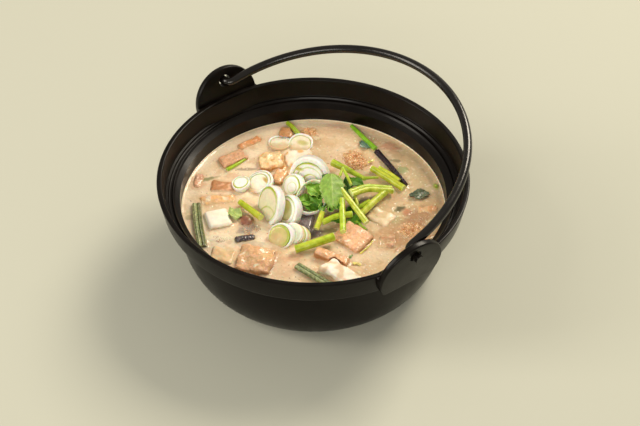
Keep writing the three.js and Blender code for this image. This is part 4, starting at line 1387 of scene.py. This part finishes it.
# The fat in the broth gives it a clear shine like a glaze, over a body that looks like cream.
thick_broth, tree, shader = new_finish(
    "creamy_miso_broth", {**WET, "Roughness": 0.16, "IOR": 1.35, "Coat Weight": 0.3, "Coat Roughness": 0.05}
)
tree.links.new(tinted(tree, 0.95, 1.04, 1.6), shader.inputs[0])
pimpled(tree, shader, [(4.5, 0.25, NOISE), (1.5, 0.07, NOISE)])
placed_on(soup, thick_broth, "soup", "soup")

# Where the broth meets the iron, it holds on by a thin bright bead.
BEAD_SPANS = 200
BEAD_THICKNESS = 0.42
bead_height = soup_level + CLIMB_ON_IRON
bead_radius = wall_radius(bead_height) - 0.3
bead_line = []
for angle in round_angles(BEAD_SPANS):
    bead_line.append((bead_radius * math.cos(angle), bead_radius * math.sin(angle), bead_height))
bead = path_piece("broth_bead", bead_line, closed=True)
with_nodes(bead, sweep, Radius=BEAD_THICKNESS * MM, Step=1.3 * MM, Ribs=2.0, Depth=0.0, Finish=thick_broth)
bead.data.shade_smooth()
keep_tints(bead.data, [BROTH_PALE] * len(bead.data.vertices))
placed_on(bead, thick_broth, "soup")

# ---------------------------------------------------------------- Natto
# Fermented soybeans, whole and crushed: small, wrinkled, sticky and orange-brown. They lie in heaps
# that break the surface.
# Their sticky skins are glossy and slightly wrinkled, in two shades of brown, mixed bean by bean.
natto_bean, tree, shader = new_finish("sticky_natto_bean", {**WET, "IOR": 1.42, "Coat Weight": 0.8})
bean_shade = ramp(tree, pattern_of(tree, 3.2), (0.3, "bb7d48"), (0.7, "efbd88")).outputs[0]
tree.links.new(filmed(tree, bean_shade, 0.8), shader.inputs[0])
pimpled(tree, shader, [(1.2, 0.18, NOISE)])

# Spreads lumps over a surface, each turned and sized at random, then dented by a noise and lowered.
scatter, given = new_nodes(
    "scatter_lumps", "Lumps", Surface="Geometry", Distance="Float", Smallest="Float", Largest="Float",
    Flatness="Float", Dent="Float", Sink="Float", Seed="Int", Detail="Int", Finish="Material",
)
DENSEST = 4e6
DENT_SIZE = 2.0
apart = {"Distance Min": given["Distance"], "Density Max": DENSEST, "Seed": given["Seed"]}
spread = {"Mesh": given["Surface"], **apart}
spread = add(scatter, "GeometryNodeDistributePointsOnFaces", spread, distribute_method="POISSON")
ball = add(scatter, "GeometryNodeMeshIcoSphere", {"Radius": 1.0, "Subdivisions": given["Detail"]})
size = {2: given["Smallest"], 3: given["Largest"], "Seed": given["Seed"]}
size = add(scatter, "FunctionNodeRandomValue", size, data_type="FLOAT").outputs[1]
long = add(scatter, "FunctionNodeRandomValue", {2: 0.75, 3: 1.35, "Seed": 11}, data_type="FLOAT").outputs[1]
shape = add(scatter, "ShaderNodeCombineXYZ", {"X": long, "Y": 0.85, "Z": given["Flatness"]})
scaled = add(scatter, "ShaderNodeVectorMath", {"Vector": shape, "Scale": size}, operation="SCALE")
spin = {0: (-0.5, -0.5, -3.14), 1: (0.5, 0.5, 3.14), "Seed": 5}
spin = add(scatter, "FunctionNodeRandomValue", spin, data_type="FLOAT_VECTOR")
lumps = {"Points": spread, "Instance": ball, "Rotation": spin, "Scale": scaled}
lumps = add(scatter, "GeometryNodeInstanceOnPoints", lumps)
real = add(scatter, "GeometryNodeRealizeInstances", {"Geometry": lumps})
dents = {"Vector": add(scatter, "GeometryNodeInputPosition"), "Scale": 1 / (DENT_SIZE * MM), "Detail": 2}
dents = add(scatter, NOISE, dents).outputs["Color"]
dents = add(scatter, "ShaderNodeVectorMath", {0: dents, 1: (0.5, 0.5, 0.5)}, operation="SUBTRACT")
dents = add(scatter, "ShaderNodeVectorMath", {"Vector": dents, "Scale": given["Dent"]}, operation="SCALE")
down = add(scatter, "ShaderNodeCombineXYZ", {"Z": given["Sink"]})
offset = add(scatter, "ShaderNodeVectorMath", {0: dents, 1: down}, operation="SUBTRACT")
dented = add(scatter, "GeometryNodeSetPosition", {"Geometry": real, "Offset": offset})
coated = add(scatter, "GeometryNodeSetMaterial", {"Geometry": dented, "Material": given["Finish"]})
add(scatter, "NodeGroupOutput", {"Lumps": coated})


PATCH_GRID = 26
PATCH_HOLES = 3.5


def lumps_on(name, oval, dome, sizes, finish, seed, keep=1.0, dent=0.0, sink=0.0):
    """Lumps on a ragged oval of the surface, domed in the middle.

    The oval is its middle, half length, half width and turn. Sizes are the spacing, the smallest
    and largest radius, the flatness and the detail of a lump. Keep is the noise up to which the
    oval is whole: at 1 nothing of it is left out, and at 0 half.
    """
    middle, half_long, half_wide, turn = oval
    spacing, least, most, flatness, detail = sizes
    spots, quads, _ = disc_grid(1.0, PATCH_GRID)
    angle = math.radians(turn)
    points = []
    for a, b in spots:
        x = middle[0] + half_long * a * math.cos(angle) - half_wide * b * math.sin(angle)
        y = middle[1] + half_long * a * math.sin(angle) + half_wide * b * math.cos(angle)
        points.append((x, y, soup_level + dome * (1 - a * a - b * b)))
    kept = [quad for quad in quads if ripple(points[quad[0]], PATCH_HOLES, seed) < keep]
    patch = solid(name, points, kept)
    patch.data.transform(laid((0, 0, 0)))
    with_nodes(
        patch, scatter, Distance=spacing * MM, Smallest=least * MM, Largest=most * MM, Flatness=flatness,
        Dent=dent * MM, Sink=sink * MM, Seed=seed, Detail=detail, Finish=finish,
    )
    patch.data.shade_smooth()
    keep_tints(patch.data, np.ones((len(patch.data.vertices), 4)))
    return patch


BEANS = (1.4, 0.9, 1.6, 0.8, 3)
# Each heap by its oval, the height of its dome, and how far its beans are sunk.
natto_heaps = {
    "natto_mound": (([27.4, 44.4], 11, 8, 114), 2.6, 1.0),
    "natto_clump_far": (([-2.8, 73], 5.5, 4.5, 10), 1.8, 0.6),
    "natto_clump_right": (([62.4, -23.4], 9, 8.5, 40), 1.4, 0.8),
}
for seed, (node, (oval, dome, sink)) in enumerate(natto_heaps.items()):
    heap = lumps_on(node + "_beans", oval, dome, BEANS, natto_bean, seed + 2, dent=0.5, sink=sink)
    placed_on(heap, natto_bean, "natto", node)

# ---------------------------------------------------------------- Froth, crumbs and shreds
# What floats free: fine froth and bubbles over the natto, pale crumbs of tofu and bean, and a few
# thin shreds of leek green.
# The froth is all thin wet skins, so it glitters. Its bubbles are drawn about twice too coarse, to show.
froth_skin, tree, shader = new_finish("natto_froth", {**WET, "Roughness": 0.06, "Coat Weight": 1.0})
froth_shade = ramp(tree, pattern_of(tree, 3), (0.35, "c49a7c"), (0.65, "e8cdae"))
tree.links.new(froth_shade.outputs[0], shader.inputs[0])
FINE = (0.85, 0.2, 0.6, 0.8, 3)
# Each oval, and how much of it is kept.
froth_patches = [
    (([64.0, -27.0], 15, 12, 40), 0.1),
    (([67.5, -11.0], 9, 8, 60), 0.0),
    (([-41.5, -23.0], 8, 5, 20), 0.0),
    (([-62.0, -31.5], 8, 3.5, 8), -0.05),
    (([32.0, -28.0], 9, 8, 20), -0.15),
]
for seed, (oval, keep) in enumerate(froth_patches):
    froth = lumps_on(f"froth_{seed + 1}", oval, 0.4, FINE, froth_skin, seed + 30, keep)
    placed_on(froth, froth_skin, "soup")

# Crumbs are soft and soaked, cream where they are curd and tan where they are bean.
crumb, tree, shader = new_finish("crumbled_tofu_and_bean", {**WET, "Roughness": 0.3})
crumb_shade = ramp(tree, pattern_of(tree, 6), (0.36, "c79a74"), (0.56, "f8e8cc"))
tree.links.new(crumb_shade.outputs[0], shader.inputs[0])
CRUMBS = (3.0, 0.25, 0.8, 0.5, 2)
crumbs = lumps_on("floating_crumbs", ((0, 0), 80, 80, 0), 0.0, CRUMBS, crumb, 17, 0.1, dent=0.5, sink=0.1)
placed_on(crumbs, crumb, "tofu")

shred_paths = {
    "leek_shred_right": ([[29.5, -44.8, 43.6], [34.6, -39.4, 44.2], [37.9, -33.0, 43.9]], 0.5, "e2d86a"),
    "leek_shred_front": ([[25.0, -53.8, 43.7], [27.6, -54.2, 44.1], [29.9, -55.1, 43.7]], 0.9, "e8df86"),
    "green_fleck_front": ([[22.6, -48.6, 43.6], [23.8, -47.5, 43.9], [24.6, -45.9, 43.6]], 0.7, "7c9a4e"),
    "green_fleck_wall": ([[80.0, 17.0, 43.6], [80.6, 18.4, 44.2], [79.6, 20.0, 43.7]], 0.8, "a9c24a"),
    "green_fleck_left": ([[-73.4, -11.9, 43.5], [-72.6, -11.2, 43.9], [-72.2, -10.2, 43.5]], 0.7, "6f8a48"),
    "leek_fleck_mound": ([[36.0, 40.6, 45.0], [38.4, 41.6, 45.3], [40.2, 43.6, 44.7]], 0.7, "e6dc78"),
}
for name, (points, radius, tone) in shred_paths.items():
    shred = swept_food(name, [(points, radius, -0.3, tone)], cooked_stalk, 3, 0.15)
    placed_on(shred, cooked_stalk, "stem")

# ---------------------------------------------------------------- Floor, light and camera
# A plain pale floor, matte, that the pot stands on. The light is wide and soft: the main panel is
# behind on the right, with a fill on the left and one in front. The camera looks down from in front.
FLOOR_REACH = 3000
floor_corners = [(x * FLOOR_REACH, y * FLOOR_REACH, 0) for x, y in ((-1, -1), (1, -1), (1, 1), (-1, 1))]
floor = solid("floor", floor_corners, [(0, 1, 2, 3)])
pale_floor, tree, shader = new_finish("plain_pale_floor", {"Base Color": colour("bebfb1"), "Roughness": 0.85})
floor.data.materials.append(pale_floor)

scene = bpy.context.scene
scene.view_settings.view_transform = "Standard"
world = bpy.data.worlds.new("studio")
world.use_nodes = True
studio_air = world.node_tree.nodes["Background"].inputs
studio_air["Color"].default_value = colour("fff8ea")
studio_air["Strength"].default_value = 0.36
scene.world = world

LIGHT_AIM = Vector((0, 0, 0.05))
contents_way = Matrix.Rotation(CONTENTS_TURN, 3, "Z")


def panel(name, at, size, power, tone):
    """A soft light panel, placed in the contents' own directions, which are the camera's."""
    lamp = bpy.data.lights.new(name, "AREA")
    lamp.shape = "RECTANGLE"
    lamp.size, lamp.size_y = size
    lamp.energy = power
    lamp.color = colour(tone)[:3]
    holder = linked(name, lamp)
    holder.location = contents_way @ Vector(at)
    holder.rotation_euler = (contents_way @ (LIGHT_AIM - Vector(at))).to_track_quat("-Z", "Y").to_euler()


panel("key", (1.0, 1.1, 1.5), (0.9, 0.9), 40, "fff4e0")
panel("side", (-1.5, -0.2, 0.9), (0.6, 1.2), 16, "fff7ea")
panel("front", (-0.3, -1.8, 1.05), (1.4, 0.6), 17, "fffaf0")

CAMERA_DISTANCE = 1.2662
CAMERA_HEIGHT = math.radians(42.84)
CAMERA_AIM = (0.0043, 0.0399, 0)
SENSOR_WIDTH = 36
LENS_LENGTH = 104.93
away = contents_way @ Vector((0, -math.cos(CAMERA_HEIGHT), math.sin(CAMERA_HEIGHT)))
lens = bpy.data.cameras.new("camera")
lens.sensor_width = SENSOR_WIDTH
lens.lens = LENS_LENGTH
camera = linked("camera", lens)
camera.location = contents_way @ Vector(CAMERA_AIM) + CAMERA_DISTANCE * away
camera.rotation_euler = (-away).to_track_quat("-Z", "Y").to_euler()
scene.camera = camera
